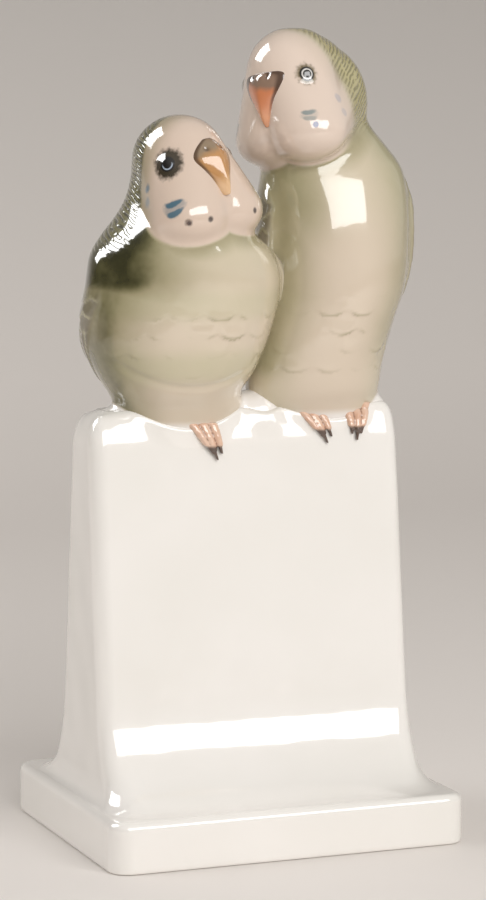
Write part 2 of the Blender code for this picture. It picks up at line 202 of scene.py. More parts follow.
LEFT_BIRD = Bird(
    name="left",
    perch=(-13.6, -1.0),
    body=(
        (-6.0, 11.0, 6.2, 5.0, -0.5, 0.5),
        (1.0, 15.0, 9.6, 9.0, -0.4, 0.0),
        (4.0, 15.2, 12.0, 11.0, -1.7, 0.0),
        (9.0, 18.4, 15.4, 13.6, -1.6, 0.0),
        (14.5, 20.8, 17.4, 15.0, -1.4, 0.0),
        (20.0, 21.8, 18.2, 15.6, -0.5, 0.0),
        (25.5, 22.3, 18.6, 15.8, 0.4, 0.0),
        (31.0, 22.2, 18.9, 15.8, 0.9, 0.0),
        (36.0, 21.0, 19.0, 15.2, 0.2, 0.2),
        (40.0, 18.0, 18.2, 14.2, -0.8, 0.2),
        (44.0, 14.0, 16.0, 12.6, -1.6, 0.0),
        (48.0, 11.2, 11.6, 11.0, -2.2, -0.8),
        (53.0, 9.4, 8.6, 9.6, -2.8, -1.8),
    ),
    head_at=(-15.7, -4.5, 155.0),
    head_turn=20.6,
    head_nod=-12.5,
    head_lean=-7.0,
    nape_at=(0.0, 4.1, -8.0),
    beak=(
        (-9.4, 2.2, 2.4, 2.0),
        (-9.6, 0.8, 4.0, 3.0),
        (-9.9, -1.2, 5.4, 3.8),
        (-10.1, -3.0, 5.7, 4.1),
        (-10.6, -5.4, 4.7, 3.9),
        (-11.4, -7.4, 3.2, 3.2),
        (-12.2, -9.4, 1.9, 2.3),
        (-13.0, -11.2, 0.8, 1.0),
    ),
    beak_keel=1.05,
    wing_top=43.0,
    wing_tip=-1.0,
    toes=((-11.4, 95.4, 3.3),),
    tail_foot=49.0,
    mounds=((4.6, 96.0, 8.0, 6.8, 6.2), (-29.4, 95.6, 5.0, 5.0, 3.6)),
)

RIGHT_BIRD = Bird(
    name="right",
    perch=(24.4, 1.0),
    body=(
        (-6.0, 9.0, 6.2, 5.0, -1.4, -1.0),
        (1.4, 15.2, 10.2, 8.4, -5.2, -0.6),
        (4.2, 16.2, 12.0, 10.0, -5.2, -0.4),
        (9.7, 16.6, 13.8, 12.2, -4.8, 0.0),
        (15.3, 16.6, 15.0, 13.4, -3.6, 0.0),
        (20.8, 16.7, 15.7, 14.2, -2.1, 0.0),
        (26.4, 17.0, 16.2, 14.8, -0.4, 0.0),
        (33.0, 17.6, 16.2, 15.2, 0.2, 0.0),
        (40.0, 17.7, 15.8, 15.2, 0.4, 0.0),
        (46.0, 17.6, 15.0, 14.8, 0.5, 0.2),
        (51.0, 17.5, 14.0, 14.2, 0.3, 0.6),
        (55.5, 16.8, 12.6, 13.6, 0.0, 1.0),
        (60.0, 14.8, 11.2, 12.8, -1.4, 1.4),
        (65.0, 12.4, 10.0, 11.6, -3.4, 1.2),
        (72.0, 10.2, 9.0, 10.2, -5.6, 0.6),
    ),
    head_at=(13.6, -0.6, 174.9),
    head_turn=-61.5,
    head_nod=8.0,
    head_lean=-8.3,
    nape_at=(0.0, 9.0, -8.0),
    beak=(
        (-9.2, 0.6, 5.2, 2.6),
        (-9.4, -0.4, 6.0, 3.2),
        (-9.6, -2.2, 6.2, 3.7),
        (-9.9, -4.0, 5.8, 3.8),
        (-10.4, -6.0, 4.5, 3.5),
        (-11.0, -8.0, 3.0, 3.0),
        (-11.6, -10.0, 1.7, 2.2),
        (-12.0, -11.6, 0.8, 1.1),
    ),
    beak_keel=1.4,
    wing_top=58.0,
    wing_tip=0.0,
    toes=((15.2, 98.2, 3.8), (27.2, 98.6, -0.8)),
    tail_foot=43.0,
    mounds=((33.4, 95.4, 4.4, 5.4, 5.2),),
)

CLAY_GRAIN = 0.46
CLAY_SMOOTHING = 70
ROW_STEPS = 4
FLANK_STEPS = 6
BOX_SIDE_EASE = 1.6
BOX_TOP_EASE = 0.8


def loft(bm, rings):
    """Skins a closed tube through rings with the same number of points, and caps both ends."""
    loops = [[bm.verts.new(point) for point in ring] for ring in rings]
    for lower, upper in zip(loops, loops[1:]):
        for i in range(len(lower)):
            j = (i + 1) % len(lower)
            bm.faces.new((lower[i], lower[j], upper[j], upper[i]))
    bm.faces.new(loops[0][::-1])
    bm.faces.new(loops[-1])


def ellipse(centre, half_width, front, back, count=48):
    """A level ring that reaches further to one side of its middle than to the other."""
    points = []
    for i in range(count):
        angle = 2.0 * math.pi * i / count
        reach = back if math.sin(angle) > 0 else front
        x, y = half_width * math.cos(angle), reach * math.sin(angle)
        points.append((centre[0] + x, centre[1] + y, centre[2]))
    return points


def smooth_rows(rows, steps):
    """Rows between the given ones, on a Catmull-Rom curve through them."""
    rows = np.array(rows, dtype=float)
    padded = np.vstack((rows[:1], rows, rows[-1:]))
    made = []
    for a, b, c, d in zip(padded, padded[1:], padded[2:], padded[3:]):
        for t in np.arange(steps) / steps:
            row = 2 * b + (c - a) * t + (2 * a - 5 * b + 4 * c - d) * t**2
            made.append(0.5 * (row + (3 * b - a - 3 * c + d) * t**3))
    return made + [rows[-1]]


def ellipsoid(bm, centre, radii, turn=Matrix.Identity(4)):
    place = turn @ Matrix.Translation(centre) @ Matrix.Diagonal((*radii, 1.0))
    bmesh.ops.create_uvsphere(bm, u_segments=40, v_segments=24, radius=1.0, matrix=place)


def head_place(bird):
    """Where the head's own axes lie: turned about the upright, then nodded, then leaned."""
    return (
        Matrix.Translation(bird.head_at)
        @ Matrix.Rotation(math.radians(bird.head_turn), 4, "Z")
        @ Matrix.Rotation(math.radians(bird.head_nod), 4, "X")
        @ Matrix.Rotation(math.radians(bird.head_lean), 4, "Y")
    )


def between(first, second, part):
    """An ellipsoid, as its centre and radii, part of the way from one to another."""
    return [[a + (b - a) * part for a, b in zip(*pair)] for pair in zip(first, second)]


def face_forms(bird):
    """Centres and radii down both sides of the face, from skull to cheek and back to the nape."""
    skull = ((0.0, 0.0, 0.0), SKULL_RADII)
    forms = [skull]
    for side in (-1, 1):
        cheek = ((side * CHEEK_AT[0], CHEEK_AT[1], CHEEK_AT[2]), CHEEK_RADII)
        nape = (bird.nape_at, NAPE_RADII)
        forms += [between(skull, cheek, part) for part in np.linspace(0.0, 1.0, CHEEK_STEPS + 1)[1:]]
        forms += [between(cheek, nape, part) for part in np.linspace(0.0, 1.0, NAPE_STEPS + 1)[1:-1]]
    return forms


def add_head(bm, bird):
    place = head_place(bird)
    for centre, radii in face_forms(bird):
        ellipsoid(bm, centre, radii, place)
    ellipsoid(bm, bird.nape_at, NAPE_RADII, place)
    ellipsoid(bm, (0.0, 0.5 * bird.nape_at[1], OCCIPUT_HEIGHT), OCCIPUT_RADII, place)
    for side in (-1, 1):
        ellipsoid(bm, (side * EYE_AT[0], EYE_AT[1], EYE_AT[2]), (EYE_RADIUS,) * 3, place)


def add_wings(bm, bird):
    """Each folded wing lies on a flank at the shoulder and turns round the back to the tail."""
    rows = smooth_rows(bird.body, FLANK_STEPS)
    for side in (-1, 1):
        rings = []
        for along, degrees, half_width, proud in smooth_rows(WING_ROWS, ROW_STEPS):
            height = bird.wing_top + (bird.wing_tip - bird.wing_top) * along
            _, flank, _, back, aside, behind = min(rows, key=lambda row: abs(row[0] - height))
            angle = math.radians(degrees)
            outward = Vector((side * math.cos(angle) / flank, math.sin(angle) / back, 0.0)).normalized()
            x = bird.perch[0] + aside + side * flank * math.cos(angle)
            y = bird.perch[1] + behind + back * math.sin(angle)
            centre = Vector((x, y, SHAFT_TOP + height))
            centre += outward * (proud - WING_THICKNESS / 2)
            across = Vector((-outward.y, outward.x, 0.0))
            ring = ellipse((0.0, 0.0, 0.0), half_width, WING_THICKNESS / 2, WING_THICKNESS / 2)
            rings.append([centre + across * x + outward * y for x, y, _ in ring])
        loft(bm, rings[::-1])


def add_tail(bm, bird):
    """The tail hangs from the rump and lies on the back of the shaft."""
    top = SHAFT_TOP + TAIL_RISE
    rings = []
    for along, half_width, half_thickness in smooth_rows(TAIL_ROWS, ROW_STEPS):
        z = top + (bird.tail_foot - top) * along
        back = pedestal_section(min(z, SHAFT_TOP - SHOULDER_DROP))[1]
        centre = (bird.perch[0], back + TAIL_PROUD, z)
        rings.append(ellipse(centre, half_width, half_thickness, half_thickness))
    loft(bm, rings[::-1])


def place_in_world(points):
    """Millimetres from the plinth's middle into metres from the middle of the whole."""
    return (points - np.array((OVERHANG, 0.0, 0.0))) * MM


def held_in(points):
    """Eases points in before the far right and the top of the CAD model's box, so that none passes it."""
    limits = np.array(cad_box[1]) / MM + np.array((OVERHANG, 0.0, 0.0))
    points = points.copy()
    for axis, ease in ((0, BOX_SIDE_EASE), (2, BOX_TOP_EASE)):
        start = limits[axis] - ease
        past = np.maximum(points[:, axis] - start, 0.0)
        points[:, axis] = np.minimum(points[:, axis], start) + ease * np.tanh(past / ease)
    return points


def soft_form(name, bm, grain, smoothing):
    """Joins the forms into one skin by voxels and blends them where they meet, in millimetres."""
    bmesh.ops.recalc_face_normals(bm, faces=bm.faces)
    mesh = bpy.data.meshes.new(name)
    bm.to_mesh(mesh)
    bm.free()
    obj = show(name, mesh)
    join = obj.modifiers.new("join", "REMESH")
    join.mode = "VOXEL"
    join.voxel_size = grain
    join.use_smooth_shade = True
    blend = obj.modifiers.new("blend", "SMOOTH")
    blend.factor = 0.5
    blend.iterations = smoothing
    made = bpy.data.meshes.new_from_object(obj.evaluated_get(bpy.context.evaluated_depsgraph_get()))
    obj.modifiers.clear()
    obj.data = made
    bpy.data.meshes.remove(mesh)
    return obj


def points_of(mesh, what="co"):
    """The places of a mesh's points, or their normals, as rows."""
    found = np.empty(len(mesh.vertices) * 3)
    if what == "co":
        mesh.vertices.foreach_get("co", found)
    else:
        mesh.vertex_normals.foreach_get("vector", found)
    return found.reshape(-1, 3)


def make_bird(bird):
    """The bird's lump of clay, and the mounds on which it is luted to the shaft."""
    bm = bmesh.new()
    rings = []
    for height, half_width, front, back, aside, behind in smooth_rows(bird.body, ROW_STEPS):
        centre = (bird.perch[0] + aside, bird.perch[1] + behind, SHAFT_TOP + height)
        rings.append(ellipse(centre, half_width, front, back))
    loft(bm, rings)
    add_head(bm, bird)
    add_wings(bm, bird)
    add_tail(bm, bird)
    for across, height, half_width, half_depth, rise in bird.mounds:
        ellipsoid(bm, (across, 0.0, height), (half_width, half_depth, rise))
    return soft_form(bird.name + "_bird", bm, CLAY_GRAIN, CLAY_SMOOTHING)


left_bird = make_bird(LEFT_BIRD)
right_bird = make_bird(RIGHT_BIRD)

# Birds, the modelled feathers and where each underglaze colour is sprayed
# The relief is tooled into the master: overlapping scallops on the wings, back and belly, long quills
# on wing tips and tail, and a raised ring round each eye. The colours are airbrushed on the bisque, and
# some of the olive is painted shade: under the bib and in the furrow between the birds.

FEATHER_WIDTH = 4.6
FEATHER_LENGTH = 3.6
FEATHER_RELIEF = 0.20
FEATHER_TIP_BOW = 1.5
QUILL_SPACING = 2.6
QUILL_GROOVE = 0.13
VANE_GROOVE = 0.12
WING_EDGE_RELIEF = 0.42
BELLY_FEATHER_WIDTH = 7.4
BELLY_FEATHER_LENGTH = 4.3
BELLY_FEATHER_SHIFT = 1.3
BELLY_RELIEF = 0.34
HAND_RELIEF = 0.10
HAND_WAVE = 9.0
EYE_RELIEF = 0.42
EYE_BULGE_RADIUS = 1.35
EYE_GROOVE = 0.08
EYE_GROOVE_RADIUS = 3.0
EYE_GROOVE_WIDTH = 0.9
SKIN_OVER_EYE = 1.05

# Where the bare face meets the nape: height above the middle of the head, and how far back.
NAPE_LINE = ((-26.0, -15.0, -6.0, 2.0, 9.0), (2.0, 5.4, 5.8, 3.4, 0.6))

# A run: where something starts and where it is at full strength. On the face it is in radii of the
# nearest form, on a wing in parts of its half width or length, on a feather in parts of its length or
# width, round the body in degrees from its front, and upwards in millimetres above the perch, or above
# the middle of the head.
FACE_RUN = (1.16, 1.06)
UNDER_CHIN_SHADE_RUN = (1.75, 1.10)
HEAD_RUN = (-30.0, -22.0)
NAPE_COLOUR_RUN = (-24.0, -14.0)
BARS_RUN = (-18.0, -13.0)
BARS_BEHIND_RUN = (94.0, 112.0)
WING_FRONT_RUN = (-1.12, -1.02)
WING_PLUME_RUN = (-1.12, -0.95)
WING_BACK_RUN = (1.25, 1.12)
WING_TOP_RUN = (-0.02, 0.06)
WING_TIP_RUN = (1.04, 0.97)
QUILLS_RUN = (0.50, 0.60)
FEATHER_RISE_RUN = (0.0, 0.85)
FEATHER_EDGE_RUN = (0.70, 0.86)
FEATHER_TIP_RUN = (1.0, 0.96)
QUILL_EDGE_RUN = (0.16, 0.06)
VANE_EDGE_RUN = (0.36, 0.46)
BACK_RUN = (105.0, 125.0)
BACK_FOOT_RUN = (2.0, 8.0)
TAIL_RUN = (5.0, -2.0)
TAIL_BEHIND_PERCH = 3.0
BELLY_ROUND_RUN = (75.0, 45.0)
BELLY_FOOT_RUN = (6.0, 12.0)
BELLY_TOP_RUN = (27.0, 21.0)
BELLY_PATCH_SIZE = 5.0
BELLY_PATCH_RUN = (-0.25, 0.45)
BELLY_SIDE_RUN = (0.46, 0.24)
BELLY_RISE_RUN = (0.1, 0.9)
BELLY_EDGE_RUN = (0.80, 0.92)
FOLD_RUN = (62.0, 38.0)
SHADED_FURROW_FOOT_RUN = (5.0, 11.0)
MOUND_RUN = (1.30, 1.08)
MOUND_TOP_RUN = (5.6, 3.8)
SEAT_SOFTNESS = 2.2

# The left bird has a fold above the leg. Its place is a bowed line, by the height at the bow's side.
FOLD_HEIGHT = 7.0
FOLD_SIDE = -6.0
FOLD_MIDDLE = -12.0
FOLD_SLOPE = 0.22
FOLD_BOW = 0.02
FOLD_WIDTH = 0.9

# Olive is sprayed on the right bird's left side, darkest as painted shade in the furrow between the
# birds; its place and width round the body are in degrees.
SHADED_FURROW_AT = -62.0
SHADED_FURROW_WIDTH = 19.0

# The sage is denser in two bands round the left bird, one at the leg and one across the breast.
LEG_BAND = 11.0
BREAST_BAND = 25.0
# Olive round the neck below the face: an olive spray, darkest next to the bib as painted shade under it.
UNDER_CHIN_OLIVE_AND_SHADE = 0.60
TAIL_OLIVE = 0.8

# Each bird's own tooling and sprays. forward is how far the nape's bars reach on to the face and soft
# how gently they end, wing the degrees by which the wing's feathers lie forward, fold the depth of the
# fold, face how strong the olive is on the face, furrow_shade how strong the olive painted as shade in
# the furrow between the birds is, and seat the height at which the bare clay ends.
# A spray is its strength and the runs that bound it, each over one measure of a point's place.
REAR_RUNS = (("round", 84.0, 112.0), ("height", 0.0, 14.0))
SPRAYS = {
    "left": {
        "forward": 3.0,
        "soft": 1.0,
        "wing": 9.0,
        "fold": 0.4,
        "face": 0.55,
        "seat": -1.2,
        "furrow_shade": 0.0,
        "olive": (
            (0.76, ("leftward", 16.0, 74.0)),
            (1.05, ("leftward", -8.0, 64.0), ("height", 23.0, 31.0)),
            (0.75, *REAR_RUNS),
        ),
        "sage": (
            (0.30, ("height", 20.0, 40.0)),
            (0.42, ("off_leg", 6.0, 1.0)),
            (0.30, ("off_breast", 5.0, 1.0)),
            (0.10,),
        ),
    },
    "right": {
        "forward": 2.2,
        "soft": 2.4,
        "wing": 3.0,
        "fold": 0.0,
        "face": 0.15,
        "seat": 0.4,
        "furrow_shade": 0.54,
        "olive": (
            (0.50, ("height", 33.0, 48.0), ("leftward", 2.0, 44.0)),
            (0.40, ("rightward", 0.0, 50.0), ("height", 6.0, 20.0)),
            (0.72, *REAR_RUNS),
        ),
        "sage": (
            (0.30, ("height", 34.0, 56.0)),
            (0.40, ("round", 15.0, 60.0)),
        ),
    },
}


def fade(x, start, end):
    """0 at start and before it, 1 at end and past it, with a soft run between."""
    t = np.clip((x - start) / (end - start), 0.0, 1.0)
    return t * t * (3.0 - 2.0 * t)


def hump(x, width):
    """1 where x is 0, and less the further it is from there."""
    return np.exp(-((x / width) ** 2))


def sprayed(sprays, measures):
    """How strong each spray of a colour is at each point."""
    strengths = []
    for strength, *runs in sprays:
        for measure, start, end in runs:
            strength = strength * fade(measures[measure], start, end)
        strengths.append(strength)
    return strengths


def scallops(across, down, width, length):
    """How far along its own feather each point is, 0 at the root to 1 at the rounded tip, and how far
    from the feather's middle line, 0 to 0.5."""
    row = np.floor(down / length)
    part = down / length - row

    def sideways(row):
        cell = across / width + 0.5 * np.mod(row, 2)
        return np.abs(cell - np.floor(cell) - 0.5)

    own = part + FEATHER_TIP_BOW * sideways(row) ** 2
    below = part - 1.0 + FEATHER_TIP_BOW * sideways(row + 1) ** 2
    within = own < 1.0
    along = np.where(within, own, np.maximum(below, 0.0) + 0.04)
    return along, np.where(within, sideways(row), sideways(row + 1))


def wobble(points, size):
    """Slow, seamless unevenness between -1 and 1, as a hand leaves it."""
    x, y, z = (points / size).T
    return (
        np.sin(1.7 * x + 2.3 * y + 0.4)
        + np.sin(2.1 * y - 1.3 * z + 1.9)
        + np.sin(1.9 * z + 1.1 * x + 3.1)
        + np.sin(3.7 * x - 2.9 * z + 0.7) * 0.5
    ) / 3.5


def store(mesh, name, kind, values):
    """Stores a value, vector or colour for each point, which the materials read."""
    field = {"FLOAT": "value", "FLOAT_VECTOR": "vector", "FLOAT_COLOR": "color"}[kind]
    mesh.attributes.new(name, kind, "POINT").data.foreach_set(field, np.ravel(values))


def to_head(bird, points):
    """Points in the head's own axes, with the face towards -Y."""
    back = np.array(head_place(bird).inverted())
    return points @ back[:3, :3].T + back[:3, 3]


def nearest(ellipsoids, points):
    """How many radii away the nearest of some ellipsoids' centres is."""
    away = [np.linalg.norm((points - np.array(at)) / np.array(radii), axis=1) for at, radii in ellipsoids]
    return np.min(away, axis=0)


def finish_bird(obj, bird):
    """Tools the feathers into the skin, and stores where each colour goes."""
    mesh = obj.data
    spray = SPRAYS[bird.name]
    at = points_of(mesh)
    outward = points_of(mesh, "normal")
    height = at[:, 2] - SHAFT_TOP
    rows = np.array(bird.body)
    flank, front, back, aside, behind = (np.interp(height, rows[:, 0], rows[:, i]) for i in range(1, 6))
    x = at[:, 0] - bird.perch[0] - aside
    y = at[:, 1] - bird.perch[1] - behind
    round_to = np.degrees(np.arctan2(x / flank, -y / np.where(y < 0, front, back)))
    either_way = np.abs(round_to)
    girth = (flank + (front + back) / 2) / 2
    head = to_head(bird, at)

    # Head: the bare face, the ring round the eye, and the barred nape behind it
    from_face = nearest(face_forms(bird), head)
    nape_line = np.interp(head[:, 2], *NAPE_LINE) - spray["forward"]
    soft = spray["soft"]
    face = fade(from_face, *FACE_RUN) * fade(head[:, 1], nape_line + soft, nape_line - soft)
    near_head = fade(head[:, 2], *HEAD_RUN)
    nape = near_head * fade(head[:, 1], nape_line - 0.8 * soft, nape_line + 1.6 * soft)
    nape *= np.maximum(fade(head[:, 2], *BARS_RUN), fade(either_way, *BARS_BEHIND_RUN))
    nape_ground = nape * fade(head[:, 2], *NAPE_COLOUR_RUN)
    eye = np.array(EYE_AT) * SKIN_OVER_EYE
    from_eye = np.linalg.norm(np.column_stack((np.abs(head[:, 0]), head[:, 1:])) - eye, axis=1)
    relief = EYE_RELIEF * hump(from_eye, EYE_BULGE_RADIUS)
    relief -= EYE_GROOVE * hump(from_eye - EYE_GROOVE_RADIUS, EYE_GROOVE_WIDTH)

    # Wings and back: scallops down to the middle of the wing, then quills
    along = (height - bird.wing_top) / (bird.wing_tip - bird.wing_top)
    wing = np.array(WING_ROWS)
    middle, half_width = (np.interp(along, wing[:, 0], wing[:, i]) for i in (1, 2))
    behind_flank = either_way - 90.0 - middle + spray["wing"]
    chord = np.radians(behind_flank) * girth / half_width
    in_wing = fade(chord, *WING_FRONT_RUN) * fade(along, *WING_TOP_RUN) * fade(along, *WING_TIP_RUN)
    in_wing *= np.where(chord > 0, fade(chord, *WING_BACK_RUN), 1.0)
    in_wing *= 1.0 - near_head
    behind_all = fade(either_way, *BACK_RUN) * fade(height, *BACK_FOOT_RUN) * (1.0 - near_head)
    plumed = np.maximum(in_wing * fade(chord, *WING_PLUME_RUN), behind_all)
    tip, _ = scallops(np.radians(round_to) * girth, -height, FEATHER_WIDTH, FEATHER_LENGTH)
    quill_line = np.abs(np.mod(chord * half_width / QUILL_SPACING + 0.5, 1.0) - 0.5)
    quills = in_wing * fade(along, *QUILLS_RUN)
    coverts = plumed * (1.0 - quills)
    relief += WING_EDGE_RELIEF * in_wing
    relief += FEATHER_RELIEF * coverts * (fade(tip, *FEATHER_RISE_RUN) - 0.5)
    relief -= FEATHER_RELIEF * quills * hump(quill_line, QUILL_GROOVE)

    # Tail: straight quills from the rump to the tip, down the back of the shaft
    on_tail = (at[:, 1] > bird.perch[1] + TAIL_BEHIND_PERCH) * fade(height, *TAIL_RUN)
    vane = np.abs(at[:, 0] - bird.perch[0])
    vane_line = np.abs(np.mod(vane / QUILL_SPACING, 1.0) - 0.5)
    relief -= FEATHER_RELIEF * on_tail * hump(0.5 - vane_line, VANE_GROOVE)

    # Belly: a few shallow scallops, and the left bird's fold above the leg
    belly = fade(either_way, *BELLY_ROUND_RUN) * fade(height, *BELLY_FOOT_RUN)
    belly *= fade(height, *BELLY_TOP_RUN)
    belly *= fade(wobble(at, BELLY_PATCH_SIZE), *BELLY_PATCH_RUN)
    shifted = np.radians(round_to) * girth + BELLY_FEATHER_SHIFT
    soft_tip, from_middle = scallops(shifted, -height, BELLY_FEATHER_WIDTH, BELLY_FEATHER_LENGTH)
    belly *= fade(from_middle, *BELLY_SIDE_RUN)
    relief += BELLY_RELIEF * belly * (fade(soft_tip, *BELLY_RISE_RUN) - 0.5)
    from_side = x - FOLD_SIDE
    fold = height - FOLD_HEIGHT + FOLD_SLOPE * from_side - FOLD_BOW * from_side**2
    relief -= spray["fold"] * hump(fold, FOLD_WIDTH) * fade(np.abs(round_to - FOLD_MIDDLE), *FOLD_RUN)
    relief += HAND_RELIEF * wobble(at, HAND_WAVE)
    at = held_in(at + outward * relief[:, None])

    # Colours
    measures = {
        "height": height,
        "off_leg": np.abs(height - LEG_BAND),
        "off_breast": np.abs(height - BREAST_BAND),
        "round": either_way,
        "leftward": -round_to,
        "rightward": round_to,
    }
    sage = sum(sprayed(spray["sage"], measures))
    # Olive on the right bird's left side, darkest as painted shade in the furrow between the birds
    olive = spray["furrow_shade"] * hump(round_to - SHADED_FURROW_AT, SHADED_FURROW_WIDTH) * fade(height, *SHADED_FURROW_FOOT_RUN)
    for sprayed_on in sprayed(spray["olive"], measures):
        olive = np.maximum(olive, sprayed_on)
    # Olive round the neck, darkest just under the bib as painted shade under its overhang
    olive = np.maximum(olive, UNDER_CHIN_OLIVE_AND_SHADE * fade(from_face, *UNDER_CHIN_SHADE_RUN) * (1.0 - face))
    olive = np.maximum(olive, TAIL_OLIVE * on_tail)
    face_shade = spray["face"] * fade(head[:, 1], nape_line - 7.0, nape_line - 0.5)
    olive = np.where(face > 0.0, olive * (1.0 - face) + face_shade * face, olive)
    mounds = [((across, 0.0, z), (a, b, c)) for across, z, a, b, c in bird.mounds]
    bare = fade(nearest(mounds, at), *MOUND_RUN) * fade(height, *MOUND_TOP_RUN)
    below_seat = fade(height, spray["seat"], spray["seat"] - SEAT_SOFTNESS)
    bare = np.maximum(bare, below_seat * (1.0 - on_tail))
    tail_or_wing = np.maximum(in_wing, on_tail)
    quill_edge = quills * fade(quill_line, *QUILL_EDGE_RUN) + on_tail * fade(vane_line, *VANE_EDGE_RUN)
    edge = coverts * fade(tip, *FEATHER_EDGE_RUN) * fade(tip, *FEATHER_TIP_RUN) + quill_edge

    keep = 1.0 - bare
    # The olive in wash includes the painted shade under the bib and in the furrow between the birds.
    masks = {
        "wash": (sage * (1.0 - face) * keep, olive * keep, bare),
        "plumage": (nape * (1.0 - face) * keep, tail_or_wing * keep, edge * keep),
        "form": (face * keep, belly * fade(soft_tip, *BELLY_EDGE_RUN), nape_ground * (1.0 - face) * keep),
    }
    mesh.vertices.foreach_set("co", place_in_world(at).ravel())
    for name, channels in masks.items():
        colour = np.ones((len(at), 4))
        colour[:, :3] = np.clip(np.column_stack(channels), 0.0, 1.0)
        store(mesh, name, "FLOAT_COLOR", colour)
    store(mesh, "head", "FLOAT_VECTOR", to_head(bird, at))
    mesh.update()


finish_bird(left_bird, LEFT_BIRD)
finish_bird(right_bird, RIGHT_BIRD)

# Birds, painted and glazed porcelain
# Underglaze colours under a thick clear glaze: the colours lie soft-edged below a hard mirror surface,
# so every lamp shows as a sharp window on them. Fine work, such as eyes, spots and the bars of the
# nape, is brushed on, and each bird has its own tints.

BREAST_CREAM = "#D6C6B2"
SAGE = "#BBB893"
OLIVE = "#79743F"
DARK_OLIVE = "#2B2A12"
BARE_PORCELAIN = "#F1ECE7"
QUILL_GREY = "#6A6257"
FEATHER_EDGE = "#BDB797"
EYE_BLACK = "#14110F"
QUILL_STRENGTH = 0.62
EDGE_STRENGTH = 0.72
BELLY_SHADE = 0.42
NAPE_STRENGTH = 0.75
EYE_ON_SKIN = (9.6, -6.8, -1.6)
BAR_PITCH = 1.2
BAR_GROOVE = 0.25
PAINT_ROUGHNESS = 0.14
PORCELAIN_IOR = 1.5
GLAZE_ROUGHNESS = 0.025
GLAZE_IOR = 1.6
GLAZE_SWELLS = 16.0
GLAZE_SWELL_HEIGHT = 0.4
GLAZE_SWELL_STRENGTH = 0.05

# The lengths over which the paint changes: where sprays overlap, along the nape's rows, between its
# brushed bars, and at a wet brush's edge.
CLOUD_SIZE = 9.0
WAVER_SIZE = 5.0
BREAK_SIZE = 1.9
WET_SIZE = 1.4

# How the strokes on a cheek bow up towards the beak, and how fast.
STROKE_SLOPE = 0.34
STROKE_BOW = -0.16

# The eye looks out at a right angle to an oval head with these squared radii.
HEAD_OVAL = (96.0, 128.0)
LASHES = 13.0

# A stroke on the cheek: height above or below the middle, half thickness, half length, strength. A
# spot: its place in the head's axes, radius, colour, strength. It is on both sides of the head, or on
# the far side only where its first value is negative.
LEFT_PAINT = {
    "face": "#D8C3B2",
    "nape": "#7E7A4C",
    "bars": "#2E3018",
    "bar_strength": 0.85,
    "eye_surround": "#3B3223",
    "eye_surround_reach": 3.8,
    "eye_ring": "#A7B3C2",
    "ring_top": 0.4,
    "cheek": "#426779",
    "cheek_at": (12.9, -9.2, -11.7),
    "strokes": ((1.15, 0.85, 2.6, 0.95), (-1.0, 0.82, 2.4, 0.9), (0.1, 2.2, 3.1, 0.45)),
    "spots": (
        (11.0, -10.6, -15.3, 0.86, "#3A2013", 1.0),
        (6.7, -12.9, -15.6, 0.70, "#3B3230", 0.9),
        (10.9, -1.0, -5.8, 1.2, "#4D7186", 0.85),
        (11.6, -0.6, -8.8, 1.3, "#5D8296", 0.5),
    ),
}
RIGHT_PAINT = {
    "face": "#DFCCBD",
    "nape": "#B9AF7C",
    "bars": "#6E6A3C",
    "bar_strength": 0.70,
    "eye_surround": "#6F6243",
    "eye_surround_reach": 2.7,
    "eye_ring": "#DDDAD6",
    "ring_top": 2.4,
    "cheek": "#6F8385",
    "cheek_at": (11.3, -10.9, -10.6),
    "strokes": ((0.7, 0.62, 2.3, 0.75), (-0.7, 0.60, 1.8, 0.45), (0.0, 1.5, 2.6, 0.25)),
    "spots": (
        (12.2, -10.3, -12.9, 0.66, "#2F3A6B", 0.95),
        (-11.2, -11.2, -11.8, 0.80, "#45422C", 0.9),
        (12.5, -1.2, -8.3, 1.0, "#A9A6B0", 0.55),
        (13.3, -1.1, -11.6, 0.9, "#A9A6B0", 0.45),
    ),
}


def linear(colour):
    """An sRGB hex colour as linear light."""
    values = [int(colour[i : i + 2], 16) / 255.0 for i in (1, 3, 5)]
    return [v / 12.92 if v <= 0.04045 else ((v + 0.055) / 1.055) ** 2.4 for v in values] + [1.0]


def add(tree, kind, inputs=None, **settings):
    """Adds a shader node. An input is a number, a vector, a hex colour, or a node or socket to link."""
    made = tree.nodes.new("ShaderNode" + kind)
    for name, value in settings.items():
        setattr(made, name, value)
    for key, value in (inputs or {}).items():
        if isinstance(value, bpy.types.Node):
            value = next(socket for socket in value.outputs if socket.enabled)
        if isinstance(value, bpy.types.NodeSocket):
            tree.links.new(value, made.inputs[key])
        else:
            made.inputs[key].default_value = linear(value) if isinstance(value, str) else value
    return made


# Settings of nodes that are added many times: a product, one held to 0 to 1, one with a sum, and a
# soft run from one value (input 1) to another (input 2), which ends at 1 or at input 4.
PRODUCT = {"operation": "MULTIPLY"}
SHARE = {"operation": "MULTIPLY", "use_clamp": True}
PRODUCT_SUM = {"operation": "MULTIPLY_ADD"}
SOFT_RUN = {"interpolation_type": "SMOOTHSTEP"}


def paint_on(tree, colour, coats):
    """Lays coats over a colour, one after the other: how much there is of each, and its tint."""
    for amount, tint in coats:
        colour = add(tree, "Mix", {0: amount, 6: colour, 7: tint}, data_type="RGBA")
    return colour


def start_material(name):
    material = bpy.data.materials.new(name)
    material.use_nodes = True
    material.node_tree.nodes.clear()
    return material, material.node_tree


